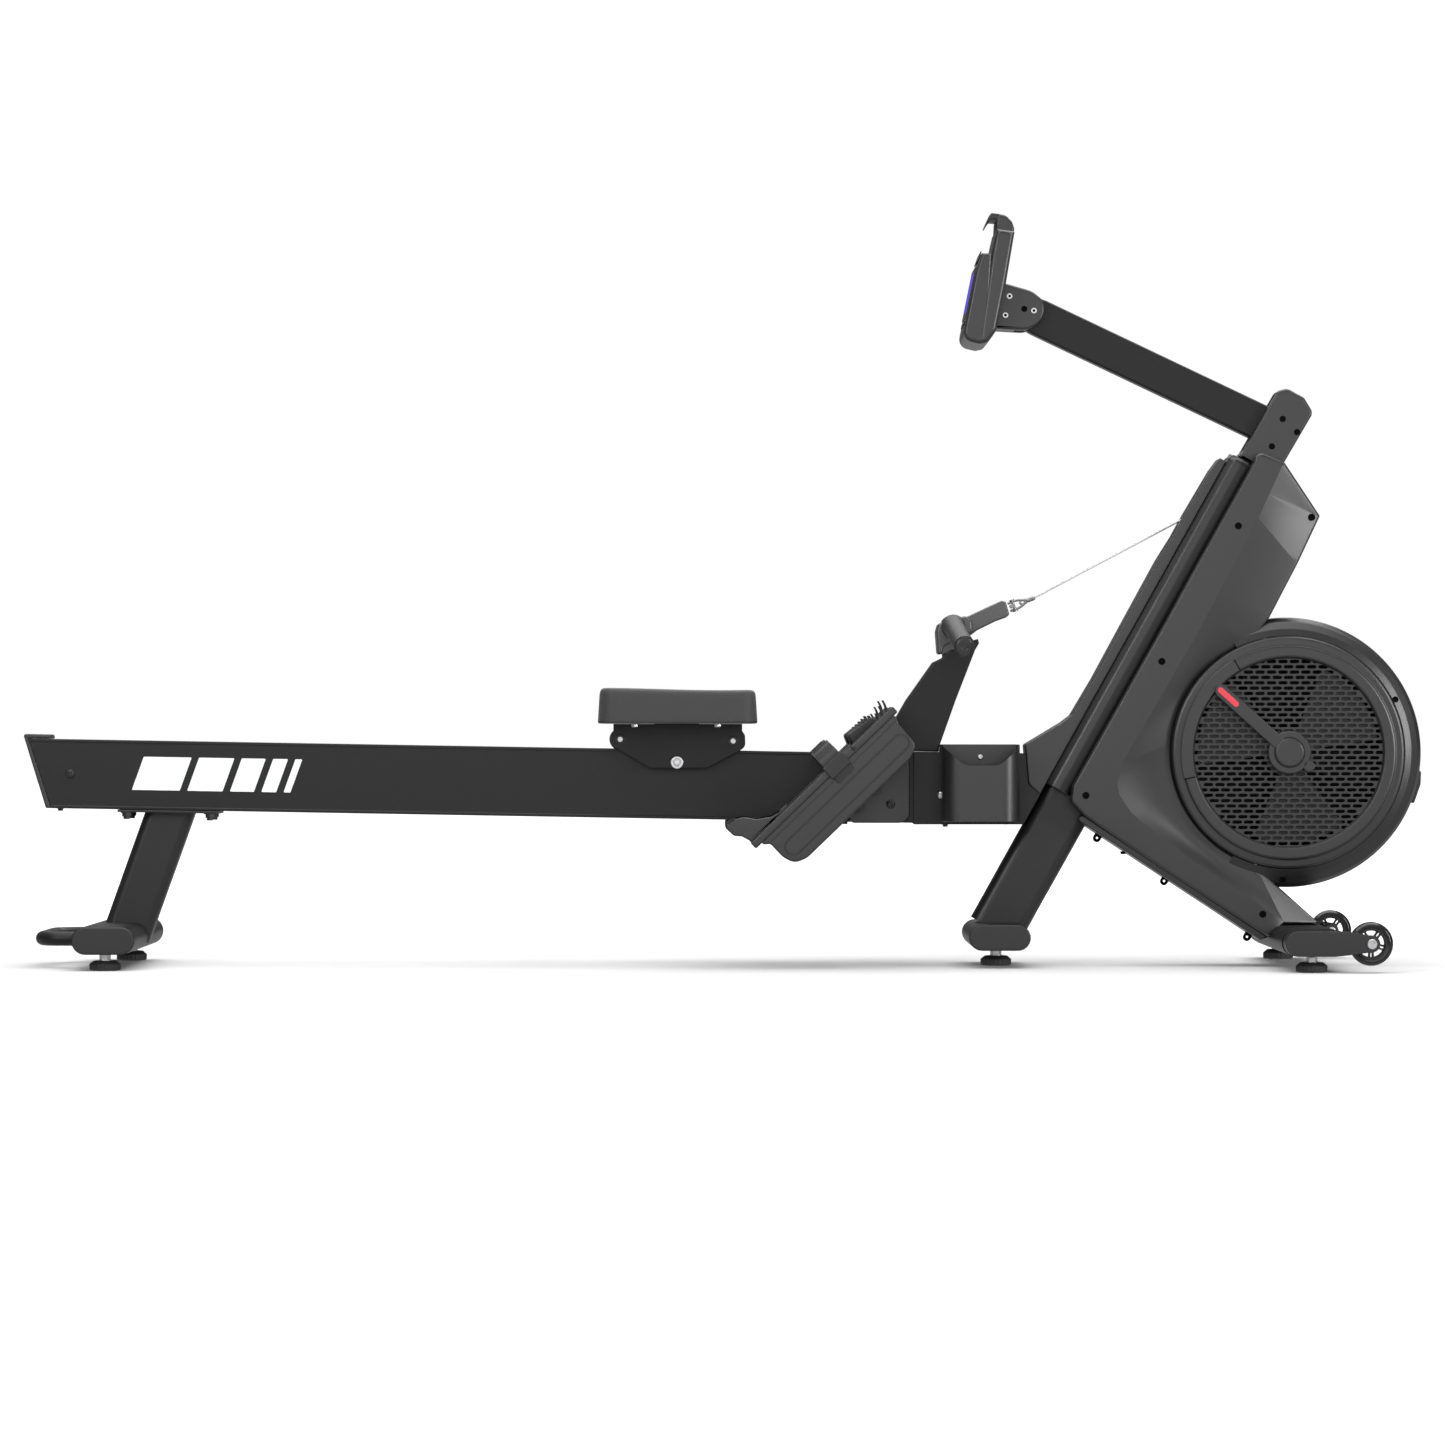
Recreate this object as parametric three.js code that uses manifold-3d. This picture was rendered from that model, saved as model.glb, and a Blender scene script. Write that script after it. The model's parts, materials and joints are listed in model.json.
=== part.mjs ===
// Air rowing machine, millimetres. X runs from the rear of the rail to the fan, Z is up, Y = 0 is the
// middle plane, and the floor is Z = 0. Every node is one closed body made with solid booleans.
import * as THREE from "three";
import Module from "manifold-3d";

const wasm = await Module();
wasm.setup();
const { Manifold, CrossSection } = wasm;

// Driving dimensions
const GAP = 0.3; // clearance between neighbouring pieces
const RAIL_FALL = 0.0171; // the rail drops this much per mm toward the front
const RAIL_TOP = 378; // height of the rail's top face at X = 0
const RAIL_BOTTOM = 256.5;
const RAIL_HALF = 30; // half width of the rail
const TRACK_DEPTH = 3.4; // recessed roller track along the rail's top
const MAST_ANGLE = 60.8;
const MAST_FOOT = [482.3, 67];
const MAST_LENGTH = 927;
const FAN_AXIS = [988, 374.5];
const HOUSING_RADIUS = 238.7;
const GRILLE_RIM = 202.5;
const COVER_HALF = 75; // half width of the side covers
const ARM_PIVOT = [966, 944.2];
const NECK_PIVOT = [529, 1152];
const ARM_ANGLE = 154.8;
const PLATE_ANGLE = 44; // slope of the foot plates
const GUIDE_PULLEY = [850.2, 771.9];
const GUIDE_RADIUS = 28;
const DRUM = [742, 318];
const DRUM_RADIUS = 42;
const WHEEL_AXLE = [1104.4, 49.6];
const FEET = {
  leveler_rear_near: [-1062.5, -190, 29],
  leveler_rear_far: [-1062.5, 190, 29],
  leveler_middle: [481, 0, 31],
  leveler_front_near: [1006.4, -252, 27],
  leveler_front_far: [1006.4, 252, 27],
};

const rad = (a) => (a * Math.PI) / 180;
const railTop = (x) => RAIL_TOP - RAIL_FALL * x;
const railBottom = (x) => RAIL_BOTTOM - RAIL_FALL * x;
// the mast's rower-side edge at height z
const mastFront = (z) =>
  MAST_FOOT[0] + (z - MAST_FOOT[1]) / Math.tan(rad(MAST_ANGLE)) - 48.5 / Math.sin(rad(MAST_ANGLE));
const at = ([x, z], length, angle) => [x + length * Math.cos(rad(angle)), z + length * Math.sin(rad(angle))];

// Outlines: lists of [x, z] points, wound either way
function outline(points, round = 0, steps = 20) {
  let area = 0;
  points.forEach(([x, z], i) => {
    const [nx, nz] = points[(i + 1) % points.length];
    area += x * nz - nx * z;
  });
  const shape = new CrossSection([area > 0 ? points : [...points].reverse()]);
  return round ? shape.offset(-round, "Miter", 2, steps).offset(round, "Round", 2, steps) : shape;
}
const arc = (centre, r, from, to, steps) =>
  Array.from({ length: steps + 1 }, (_, i) => at(centre, r, from + ((to - from) * i) / steps));
const stadium = (cx, cz, length, width, steps = 6) => [
  ...arc([cx + (length - width) / 2, cz], width / 2, -90, 90, steps),
  ...arc([cx - (length - width) / 2, cz], width / 2, 90, 270, steps),
];
const rectangle = (x0, x1, z0, z1) => [[x0, z0], [x1, z0], [x1, z1], [x0, z1]];

// Solids
const slab = (shape, y0, y1) =>
  Manifold.extrude(shape.toPolygons(), y1 - y0).rotate([90, 0, 0]).translate([0, y1, 0]);
const side = (points, y0, y1, round = 0, steps = 20) => slab(outline(points, round, steps), y0, y1);
const box = (x0, x1, y0, y1, z0, z1) =>
  Manifold.cube([x1 - x0, y1 - y0, z1 - z0]).translate([x0, y0, z0]);
const rod = ([x, z], r, y0, y1, steps = 20) =>
  Manifold.cylinder(y1 - y0, r, r, steps).rotate([-90, 0, 0]).translate([x, y0, z]);
const turned = ([x, z], profile, steps = 32, degrees = 360) =>
  Manifold.revolve(outline(profile).toPolygons(), steps, degrees).rotate([-90, 0, 0]).translate([x, 0, z]);
const upright = ([x, y], profile, steps = 24) =>
  Manifold.revolve(outline(profile).toPolygons(), steps).translate([x, y, 0]);
const plan = (points, z0, z1, round = 0, steps = 20) =>
  Manifold.extrude(outline(points, round, steps).toPolygons(), z1 - z0).translate([0, 0, z0]);
// A profile [across, y] pushed from a point [x, z] along a direction in the middle plane
const along = (points, [x, z], angle, length, round = 0) =>
  Manifold.extrude(outline(points, round, 16).toPolygons(), length)
    .rotate([0, 90 - angle, 0])
    .translate([x, 0, z]);
const mirrored = (solid) => solid.mirror([0, 1, 0]);
const joined = (...solids) => solids.reduce((a, b) => a.add(b));

// A round bar of the given radius swept through 3-D points
function sweep(points, radius, steps = 10) {
  const path = points.map((p) => new THREE.Vector3(...p));
  const tangents = path.map((p, i) =>
    path[Math.min(i + 1, path.length - 1)].clone().sub(path[Math.max(i - 1, 0)]).normalize());
  let normal = new THREE.Vector3(0, 0, 1).cross(tangents[0]);
  if (normal.length() < 0.1) normal = new THREE.Vector3(0, 1, 0).cross(tangents[0]);
  const vertices = [];
  const triangles = [];
  path.forEach((p, i) => {
    const t = tangents[i];
    normal.sub(t.clone().multiplyScalar(normal.dot(t))).normalize();
    const across = t.clone().cross(normal);
    for (let k = 0; k < steps; k++) {
      const a = (2 * Math.PI * k) / steps;
      const v = p.clone().addScaledVector(normal, radius * Math.cos(a)).addScaledVector(across, radius * Math.sin(a));
      vertices.push(v.x, v.y, v.z);
    }
  });
  const ring = (i, k) => i * steps + (k % steps);
  for (let i = 0; i < path.length - 1; i++)
    for (let k = 0; k < steps; k++) {
      triangles.push(ring(i, k), ring(i, k + 1), ring(i + 1, k + 1));
      triangles.push(ring(i, k), ring(i + 1, k + 1), ring(i + 1, k));
    }
  const last = path.length - 1;
  for (let k = 1; k < steps - 1; k++) {
    triangles.push(ring(0, 0), ring(0, k + 1), ring(0, k));
    triangles.push(ring(last, 0), ring(last, k), ring(last, k + 1));
  }
  return new Manifold(new wasm.Mesh({
    numProp: 3,
    vertProperties: new Float32Array(vertices),
    triVerts: new Uint32Array(triangles),
  }));
}

const group = new THREE.Group();
function node(name, solid, color, metalness = 0, roughness = 0.6) {
  const mesh = solid.getMesh();
  const geometry = new THREE.BufferGeometry();
  geometry.setAttribute("position", new THREE.BufferAttribute(new Float32Array(mesh.vertProperties), 3));
  geometry.setIndex(new THREE.BufferAttribute(new Uint32Array(mesh.triVerts), 1));
  geometry.computeVertexNormals();
  const material = new THREE.MeshStandardMaterial({ color, metalness, roughness, flatShading: true });
  const piece = new THREE.Mesh(geometry, material);
  piece.name = name;
  group.add(piece);
}
const TUBE = 0x363636;
const PLASTIC = 0x4b4b4b;
const DARK = 0x202020;
const STEEL = 0xb5b5b5;

// ---- Rail: a box section with a recessed roller track on top
const railOutline = [
  [-1217.5, railTop(-1217.5)], [-1177, railBottom(-1177)], [500, railBottom(500)], [500, railTop(500)],
];
const strip = (x0, x1, below, above) => [
  [x0, railTop(x0) - below], [x1, railTop(x1) - below], [x1, railTop(x1) + above], [x0, railTop(x0) + above],
];
const bore = [[-1230, railTop(-1230) - 9], [-1230, railBottom(-1230) + 3], [510, railBottom(510) + 3],
  [510, railTop(510) - 9]];
const rail = side(railOutline, -RAIL_HALF, RAIL_HALF)
  .subtract(side(strip(-1240, 205, TRACK_DEPTH, 5), -24, 24))
  .subtract(side(bore, -27, 27));
node("rail", rail, DARK, 0.3, 0.5);

node("rail_end_cap", side([[-1227, 407], [-1179, 406], [-1179, railTop(-1179) + GAP],
  [-1218, railTop(-1218) + GAP], [-1177.6, railBottom(-1177)], [-1187, railBottom(-1187)]],
-RAIL_HALF, RAIL_HALF), PLASTIC);

// ---- Rear leg, rear stabiliser and lift handle
const rearBar = stadium(-1063, 52, 108, 48, 8);
const rearBarCut = stadium(-1063, 52, 108 + 2 * GAP, 48 + 2 * GAP, 8);
const legPlate = [[-1059, railBottom(-1059) - GAP], [-883, railBottom(-883) - GAP],
  [-883, railBottom(-883) - GAP - 4], [-1059, railBottom(-1059) - GAP - 4]];
const legTube = along(stadium(0, 0, 84, 46, 5), [-1043.3, 67], 70.3, 214)
  .subtract(box(-1200, -800, -60, 60, railBottom(-970) - 3, 400))
  .subtract(side(rearBarCut, -60, 60));
node("rear_leg", joined(side(legPlate, -48, 48), legTube), TUBE, 0.4, 0.45);

const stud = (foot) => Manifold.cylinder(60, 5.6, 5.6, 12).translate([foot[0], foot[1], 0]);
const rearFeet = [FEET.leveler_rear_near, FEET.leveler_rear_far];
const corner = (cx, cy, r, from, to) => arc([cx, cy], r, from, to, 5).map(([x, y]) => [x, y, 51]);
const liftPath = [
  [-1100, -107.5, 51], ...corner(-1150.5, -72.5, 35, 270, 180), ...corner(-1150.5, 72.5, 35, 180, 90),
  [-1100, 107.5, 51],
];
const rearStabilizer = rearFeet.reduce((solid, foot) => solid.subtract(stud(foot)),
  joined(side(rearBar, -222, 222), sweep(liftPath, 12.5, 12))
    .subtract(side(stadium(-1063, 52, 102, 42, 8), -230, 230)));
node("rear_stabilizer", rearStabilizer, TUBE, 0.4, 0.45);

// ---- Mast, middle crossbar, front stabiliser
const midBar = (grow) => stadium(481, 53.5, 107 + grow, 45 + grow, 8);
const frontBar = (grow) => stadium(1010, 50, 108 + grow, 46 + grow, 8);
const mastSkin = (grow) => along(stadium(0, 0, 97 + grow, 50 + grow, 6), MAST_FOOT, MAST_ANGLE, MAST_LENGTH);
const mastBore = along(stadium(0, 0, 91, 44, 6), at(MAST_FOOT, 30, MAST_ANGLE), MAST_ANGLE, MAST_LENGTH);
const frontSlot = side([[745, 731], [825, 873], [880, 842], [800, 700]], -8, 8);
const rearSlot = side([[820, 540], [900, 680], [860, 700], [780, 560]], -8, 8);
const beam = (grow) => along(rectangle(-18 - grow, 18 + grow, -20 - grow, 20 + grow), [620, 304.5], -33.4, 437);
const mast = mastSkin(0).subtract(mastBore).subtract(side(midBar(2 * GAP), -60, 60))
  .subtract(frontSlot).subtract(rearSlot);
node("mast", mast, TUBE, 0.4, 0.45);
node("mid_crossbar", side(midBar(0), -134, 134).subtract(side(midBar(-6), -140, 140)).subtract(stud(FEET.leveler_middle)), TUBE, 0.4, 0.45);
node("front_stabilizer", side(frontBar(0), -245, 245).subtract(side(frontBar(-6), -250, 250)), TUBE, 0.4, 0.45);
node("lower_beam", beam(0).subtract(mastSkin(2 * GAP)).subtract(side(frontBar(2 * GAP), -60, 60)),
  TUBE, 0.4, 0.45);

// ---- End caps that carry the transport wheels
const capBlock = side(stadium(1011, 49.5, 106, 43, 8), -291.5, -245 - GAP);
const wheelArm = side([...arc([979, 49.5], 21.5, 90, 270, 8), [1042, 28], [1069, 31],
  ...arc(WHEEL_AXLE, 14, -98, 82, 8), [1064, 71]], -298, -290.5);
const frontCap = joined(capBlock, wheelArm, rod(WHEEL_AXLE, 4, -295, -264, 12),
  rod(WHEEL_AXLE, 9, -298, -297.5, 12), rod(WHEEL_AXLE, 7.5, -264, -260, 12))
  .subtract(stud(FEET.leveler_front_near));
node("front_cap_near", frontCap, TUBE);
node("front_cap_far", mirrored(frontCap), TUBE);

const spokeHole = (i) => side([...arc(WHEEL_AXLE, 24.5, 36 * i - 13, 36 * i + 13, 3),
  ...arc(WHEEL_AXLE, 15, 36 * i + 9, 36 * i - 9, 2)], -300, -250);
let wheel = turned(WHEEL_AXLE, [[4.3, 10], [4.3, -12], [13, -12], [14, -5], [25.5, -5], [26.5, -11], [33, -11],
  [37.5, -4], [37.5, 4], [33, 11], [26.5, 11], [25.5, 5], [14, 5], [13, 10]], 28).translate([0, -277, 0]);
for (let i = 0; i < 10; i += 2) wheel = wheel.subtract(spokeHole(i));
node("transport_wheel_near", wheel, 0x0c0c0c);
node("transport_wheel_far", mirrored(wheel), 0x0c0c0c);

// ---- Levelling feet: rubber pad, lock nut and threaded stud
for (const [name, [x, y, under]] of Object.entries(FEET)) {
  const profile = [[0, 0], [25.5, 0], [27, 2], [27, 11], [20, 17], [9.5, 17], [9.5, under - 1], [5.2, under - 1],
    [5.2, 58], [0, 58]];
  node(name, upright([x, y], profile, 20), 0x1a1a1a);
}

// ---- Rail socket, face panel, side covers
const socketOutline = [[335, railTop(335) + 3.5], [335, 248.2], [mastFront(248.2) - 0.5, 248.2],
  [mastFront(372) - 0.5, 372]];
const socketBore = [[330, railTop(330) + GAP], [330, railBottom(330) - GAP], [503, railBottom(503) - GAP],
  [503, railTop(503) + GAP]];
const socket = side(socketOutline, -33.5, 33.5).subtract(side(socketBore, -30.4, 30.4));
node("rail_socket", socket, DARK, 0.3, 0.5);

const panelOutline = [[872, 891], [882, 885], [mastFront(878) - 0.6, 878], [mastFront(301) - 0.6, 301],
  [536, 319], [530, 388], [595, 427], [612, 440], [650, 504], [696, 589], [763, 712], [790, 755], [808, 788],
  [857, 871]];
const socketCut = side([[300, railTop(300) + 4], [300, 240], [mastFront(240), 240], [mastFront(372.5), 372.5]],
  -33.9, 33.9);
const cableSlot = side([[750, 726], [830, 868], [892, 833], [812, 691]], -7, 7);
const facePanel = side(panelOutline, -37, 37, 2).subtract(socketCut).subtract(cableSlot)
  .subtract(side([[640, 470], [800, 755], [860, 855], [890, 850], [700, 460]].map(([x, z]) => [x + 12, z - 22]), -27, 27));
node("face_panel", facePanel, PLASTIC);

const coverOutline = [[927, 880], [930.5, 894], [942, 898], [980, 882], [1046, 793], [1047.6, 783],
  [956.5, 611], [925, 567], ...arc(FAN_AXIS, GRILLE_RIM + 1, 108, 250, 24), [976, 136.5], [1044, 76], [980, 76],
  [954, 51], [763, 175], [632, 263], [608, 290], [611.5, 316.5], [765, 588], [832, 710]];
const coverShape = outline(coverOutline);
const coverSkin = slab(coverShape, -COVER_HALF, -0.15);
const coverHollow = slab(coverShape.offset(-3, "Miter", 2), -COVER_HALF + 3, 10)
  .add(rod(FAN_AXIS, GRILLE_RIM + 8, -COVER_HALF + 3, 10, 48));
const postBase = [[974, 1009], [990, 1013], [1020, 996.5], [1034, 973], [1033, 965], [985, 883],
  at(at(MAST_FOOT, MAST_LENGTH + GAP, MAST_ANGLE), 42, MAST_ANGLE - 90),
  at(at(MAST_FOOT, MAST_LENGTH + GAP, MAST_ANGLE), 36, MAST_ANGLE + 90), [912, 902]];
const postSkin = (grow) => slab(outline(postBase).offset(grow, "Miter", 2), -36 - grow, 36 + grow);
const cover = coverSkin.subtract(coverHollow).subtract(mastSkin(2 * GAP + 0.2)).subtract(postSkin(GAP))
  .subtract(side(frontBar(2 * GAP), -80, 80)).subtract(beam(GAP))
  .subtract(side(panelOutline, -37.4, 37.4)).subtract(socketCut);
const largest = (solid) => solid.decompose().sort((a, b) => b.volume() - a.volume())[0];
node("side_cover_near", largest(cover), PLASTIC);
node("side_cover_far", largest(mirrored(cover)), PLASTIC);

// ---- Fan housing shoulders, grilles and damper scale
const shoulder = [[HOUSING_RADIUS, -0.15], [HOUSING_RADIUS, -22], [236, -36], [229, -52], [218, -64],
  [GRILLE_RIM + 1.5, -70], [GRILLE_RIM + 1.5, -67], [216, -61.5], [226, -50.5], [233, -35], [235.7, -22],
  [235.7, -0.15]];
const housing = turned(FAN_AXIS, shoulder, 64).subtract(slab(coverShape.offset(GAP, "Miter", 2), -90, 10));
node("fan_housing_near", largest(housing), PLASTIC);
node("fan_housing_far", largest(mirrored(housing)), PLASTIC);

const rim = turned(FAN_AXIS, [[164, -67], [164, -74], [166, -77.5], [171, -79.5], [186, -79.5], [190, -77.5],
  [192.5, -72], [GRILLE_RIM, -71.5], [GRILLE_RIM, -60], [199.5, -60], [199.5, -67]], 64);
let mesh = rod(FAN_AXIS, 165, -74, -71, 64);
for (let row = -5; row <= 5; row++) {
  const half = Math.sqrt(150 ** 2 - (row * 27) ** 2);
  const z = FAN_AXIS[1] + row * 27;
  for (const [a, b] of [[-half, -half / 3 - 4], [-half / 3 + 4, half / 3 - 4], [half / 3 + 4, half]]) {
    if (Math.abs(row) < 2 && a < 0 && b > 0) continue;
    mesh = mesh.subtract(side(rectangle(FAN_AXIS[0] + a, FAN_AXIS[0] + b, z - 8.5, z + 8.5), -80, -60));
  }
}
const grille = joined(rim, mesh);
node("grille_near", grille.subtract(rod(FAN_AXIS, 10.4, -80, -60)), DARK);
node("grille_far", mirrored(grille), DARK);
node("damper_scale", turned(FAN_AXIS, [[167, -79.9], [167, -82], [189, -82], [189, -79.9]], 64)
  .intersect(side([FAN_AXIS, at(FAN_AXIS, 300, 121.4), at(FAN_AXIS, 300, 157), at(FAN_AXIS, 300, 193.7)],
    -90, 0)), 0x8a8a8a);

// ---- Damper: lever and hub outside the grille, three-lobed shutter inside, one shaft
const lobe = (a) => side([FAN_AXIS, ...arc(FAN_AXIS, 158, a, a + 60, 8)], -64.5, -62);
const lever = side([...arc(at(FAN_AXIS, 159.5, 137.9), 11.5, 47.9, 227.9, 6),
  at(at(FAN_AXIS, 20, 137.9), 11.5, 227.9), at(at(FAN_AXIS, 20, 137.9), 11.5, 47.9)], -89, -83);
node("damper_lever", joined(rod(FAN_AXIS, 10, -84, -62), rod(FAN_AXIS, 37, -87, -80.2, 28),
  rod(FAN_AXIS, 24.5, -91, -86, 24), rod(at(FAN_AXIS, 42, -35), 10, -87, -80.2, 14), lever,
  rod(FAN_AXIS, 40, -64.5, -62, 24), lobe(8), lobe(128), lobe(248)), 0x2c2c2c);

// ---- Fan wheel with its shaft
const shaft = rod(FAN_AXIS, 8, -54, 54, 16);
let fan = joined(turned(FAN_AXIS, [[0, -6], [60, -6], [172, -1], [172, 1], [60, 4], [0, 4]], 48),
  rod(FAN_AXIS, 34, -40, 26, 24), shaft);
for (let i = 0; i < 12; i++)
  fan = fan.add(box(30, 170, -46, 28, -1, 1).rotate([0, 30 * i, 0]).translate([FAN_AXIS[0], 0, FAN_AXIS[1]]));
node("fan_wheel", joined(fan, rod(FAN_AXIS, 20, 34, 50, 24)), 0x3a3a3a);

// ---- Cable drum, guide pulley, belt
const drum = turned(DRUM, [[0, -18], [48, -18], [48, -14], [DRUM_RADIUS, -12], [DRUM_RADIUS, 12], [48, 14],
  [48, 18], [12, 18], [12, 34], [56, 34], [56, 50], [0, 50]], 32);
node("cable_drum", drum, STEEL, 0.6, 0.4);
node("guide_pulley", turned(GUIDE_PULLEY, [[4, -6], [31, -6], [GUIDE_RADIUS, 0], [31, 6], [4, 6]], 28), 0x222222);
const beltLoop = (r1, r2) => {
  const span = Math.hypot(FAN_AXIS[0] - DRUM[0], FAN_AXIS[1] - DRUM[1]);
  const tilt = Math.atan2(FAN_AXIS[1] - DRUM[1], FAN_AXIS[0] - DRUM[0]) / rad(1);
  const lean = Math.asin((r1 - r2) / span) / rad(1);
  return [...arc(DRUM, r1, tilt + 90 - lean, tilt + 270 + lean, 16),
    ...arc(FAN_AXIS, r2, tilt - 90 + lean, tilt + 90 - lean, 10)];
};
node("drive_belt", side(beltLoop(58.5, 22.5), 37, 47).subtract(side(beltLoop(56.4, 20.4), 30, 50)), 0x111111);

// ---- Pull cable: the led-out part and the part inside the mast
const CABLE = 2;
const wrap = GUIDE_RADIUS + CABLE + 0.4;
const over = 117.8; // where the cable meets the guide pulley
const under = -11.6;
const leave = at(GUIDE_PULLEY, wrap, under);
const drumSide = at(DRUM, DRUM_RADIUS + CABLE + 0.8, under);
const meet = at(GUIDE_PULLEY, wrap, over);
const PIN = [508.7, 631.3]; // the shackle pin that the handle's yoke hangs on
const PULL = 20.7; // lean of the shackle
const shackleEnd = at(PIN, 35.8, PULL);
const mixed = (a, b, t) => [a[0] + (b[0] - a[0]) * t, a[1] + (b[1] - a[1]) * t];
const flat = (points) => points.map(([x, z]) => [x, 0, z]);
node("pull_cable", sweep(flat([shackleEnd, mixed(shackleEnd, meet, 0.5), mixed(shackleEnd, meet, 0.97)]), CABLE, 8),
  STEEL, 0.8, 0.3);
node("cable_run", sweep(flat([mixed(shackleEnd, meet, 0.972), mixed(shackleEnd, meet, 0.99),
  ...arc(GUIDE_PULLEY, wrap, over, under, 10), mixed(leave, drumSide, 0.05), mixed(leave, drumSide, 0.95),
  drumSide]), CABLE, 8), STEEL, 0.8, 0.3);

// ---- Handle: shackle, yoke and two drooping grips
const across = (point, half, angle) => [at(point, half, angle + 90), at(point, half, angle - 90)];
const strut = (from, to, half, angle, y0, y1) =>
  side([...across(from, half, angle), ...across(to, half, angle).reverse()], y0, y1);
const shackle = joined(
  strut(at(PIN, -5, PULL), at(PIN, 28, PULL), 5, PULL, -9, 9)
    .subtract(strut(at(PIN, -9, PULL), at(PIN, 22, PULL), 9, PULL, -5.5, 5.5)),
  rod(PIN, 3.4, -11, 11, 14), along(stadium(0, 0, 8.6, 8.4, 6), at(PIN, 26, PULL), PULL, 9));
node("cable_shackle", shackle, STEEL, 0.9, 0.25);
const HANDLE = [403, 600.6];
const yokeLine = Math.atan2(PIN[1] - HANDLE[1] - 5, PIN[0] - HANDLE[0] - 8) / rad(1);
const yoke = joined(rod(HANDLE, 16, -38, 38, 24),
  along([[-13.5, -9], [13.5, -9], [13.5, 9], [-13.5, 9]], at(HANDLE, 5, yokeLine), yokeLine, 96, 3));
const yokeEye = yoke.subtract(rod(PIN, 3.9, -20, 20, 14)).subtract(
  side(stadium(PIN[0] + 7, PIN[1] + 3, 36, 30, 8), 4.8, 20)).subtract(
  side(stadium(PIN[0] + 7, PIN[1] + 3, 36, 30, 8), -20, -4.8)).subtract(
  strut(at(PIN, 9, PULL), at(PIN, 40, PULL), 20, PULL, -20, 20));
node("handle_yoke", yokeEye, PLASTIC);
const grip = sweep([[403, -38.4, 600.6], [403, -50, 600.4], [404, -70, 597.5], [413.6, -240, 560], [414.2, -251, 557.6]],
  15.6, 16);
node("grip_near", grip, 0x2b2b2b);
node("grip_far", mirrored(grip), 0x2b2b2b);

// ---- Hook post that cradles the handle
const hookCore = [[283, 360], [372, 360], [402, 468], [434, 548], [384, 548], [331, 466]];
const hook = side([[269, railTop(269) + GAP], [379, railTop(379) + 4], [379, 382], [409, 466.5], [443, 554],
  [449, 565], [445, 574.5], [428, 581], [412, 584], [392, 584], [383, 576], [376, 554], [323, 466.5], [275, 384]],
-35, 35).subtract(side(socketOutline, -34, 34).translate([0, 0, GAP])).subtract(side(hookCore, -32, 32));
node("hook_post", hook, TUBE, 0.4, 0.45);

// ---- Bottle trays
const tray = box(384, 518, -120, -34, 254, 388.5)
  .intersect(plan([[384, -34], [518, -34], [518, -90], [488, -120], [414, -120], [384, -90]], 250, 400))
  .subtract(plan([[387, -37], [515, -37], [515, -89], [487, -117.2], [415, -117.2], [387, -89]], 257, 400))
  .subtract(side([[391, 400], [391, 387], [425, 352], [477, 352], [511, 387], [511, 400]], -130, -80))
  .subtract(mastSkin(2)).subtract(side(panelOutline, -37.4, 37.4));
node("bottle_tray_near", largest(tray), PLASTIC);
node("bottle_tray_far", largest(mirrored(tray)), PLASTIC);

// ---- Footrests on a saddle under the rail
const saddle = side([[222, 250.8], [309.4, 250.8], [328, 272], [328, 361.3], [240, 361.3], [222, 340]], -36, 36, 8)
  .subtract(side([[200, railTop(200) + 20], [200, railBottom(200) - GAP], [332.5, railBottom(332.5) - GAP],
    [332.5, railTop(332.5) + 20]], -RAIL_HALF - GAP, RAIL_HALF + GAP));
const pegs = joined(rod([270, 310], 9, -66, -34), rod([270, 310], 9, 34, 66), rod([240, 280], 9, -66, -34),
  rod([240, 280], 9, 34, 66));
node("footrest_saddle", joined(saddle, pegs), PLASTIC);
const heel = [57.7, 208.8];
const onPlate = (s, n) => at(at(heel, s, PLATE_ANGLE), n, PLATE_ANGLE + 90);
const casing = side([[82.7, 217.1], [104.1, 194.4], [124.1, 184.9], [144.1, 191.4], [324.1, 365.8], [332.7, 385.8],
  [304.1, 424.4], onPlate(335, 2), onPlate(8, 2)], -180, -60, 3);
const foot = joined(casing, side([onPlate(0, 0), onPlate(340, 0), onPlate(340, 14), onPlate(0, 14)], -180, -60, 3),
  side([onPlate(242, 13), onPlate(308, 13), onPlate(300, 26), onPlate(250, 31)], -170, -70))
  .subtract(rod([270, 310], 9.4, -70, -30)).subtract(rod([240, 280], 9.4, -70, -30))
  .subtract(side([onPlate(36, 10.5), onPlate(170, 10.5), onPlate(170, 16), onPlate(36, 16)], -146, -94));
node("footrest_near", foot, PLASTIC);
node("footrest_far", mirrored(foot), PLASTIC);

const cup = joined(
  side([onPlate(40, 11), onPlate(105, 11), onPlate(105, 13.4), onPlate(40, 13.4)], -145.5, -94.5),
  side([onPlate(-9, 14.4), onPlate(102, 14.4), onPlate(100, 18), onPlate(80, 22), onPlate(36, 30),
    onPlate(-4, 66), onPlate(-14, 63)], -170, -70, 1),
  side([onPlate(50, 12), onPlate(100, 12), onPlate(100, 15.5), onPlate(50, 15.5)], -145.5, -94.5),
).subtract(side([onPlate(3, 20), onPlate(120, 18), onPlate(120, 80), onPlate(3, 80)], -165, -75))
  .subtract(side([onPlate(0, 30), onPlate(120, 30), onPlate(120, 80), onPlate(0, 90)], -150, -90));
node("heel_cup_near", cup, PLASTIC);
node("heel_cup_far", mirrored(cup), PLASTIC);

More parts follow.
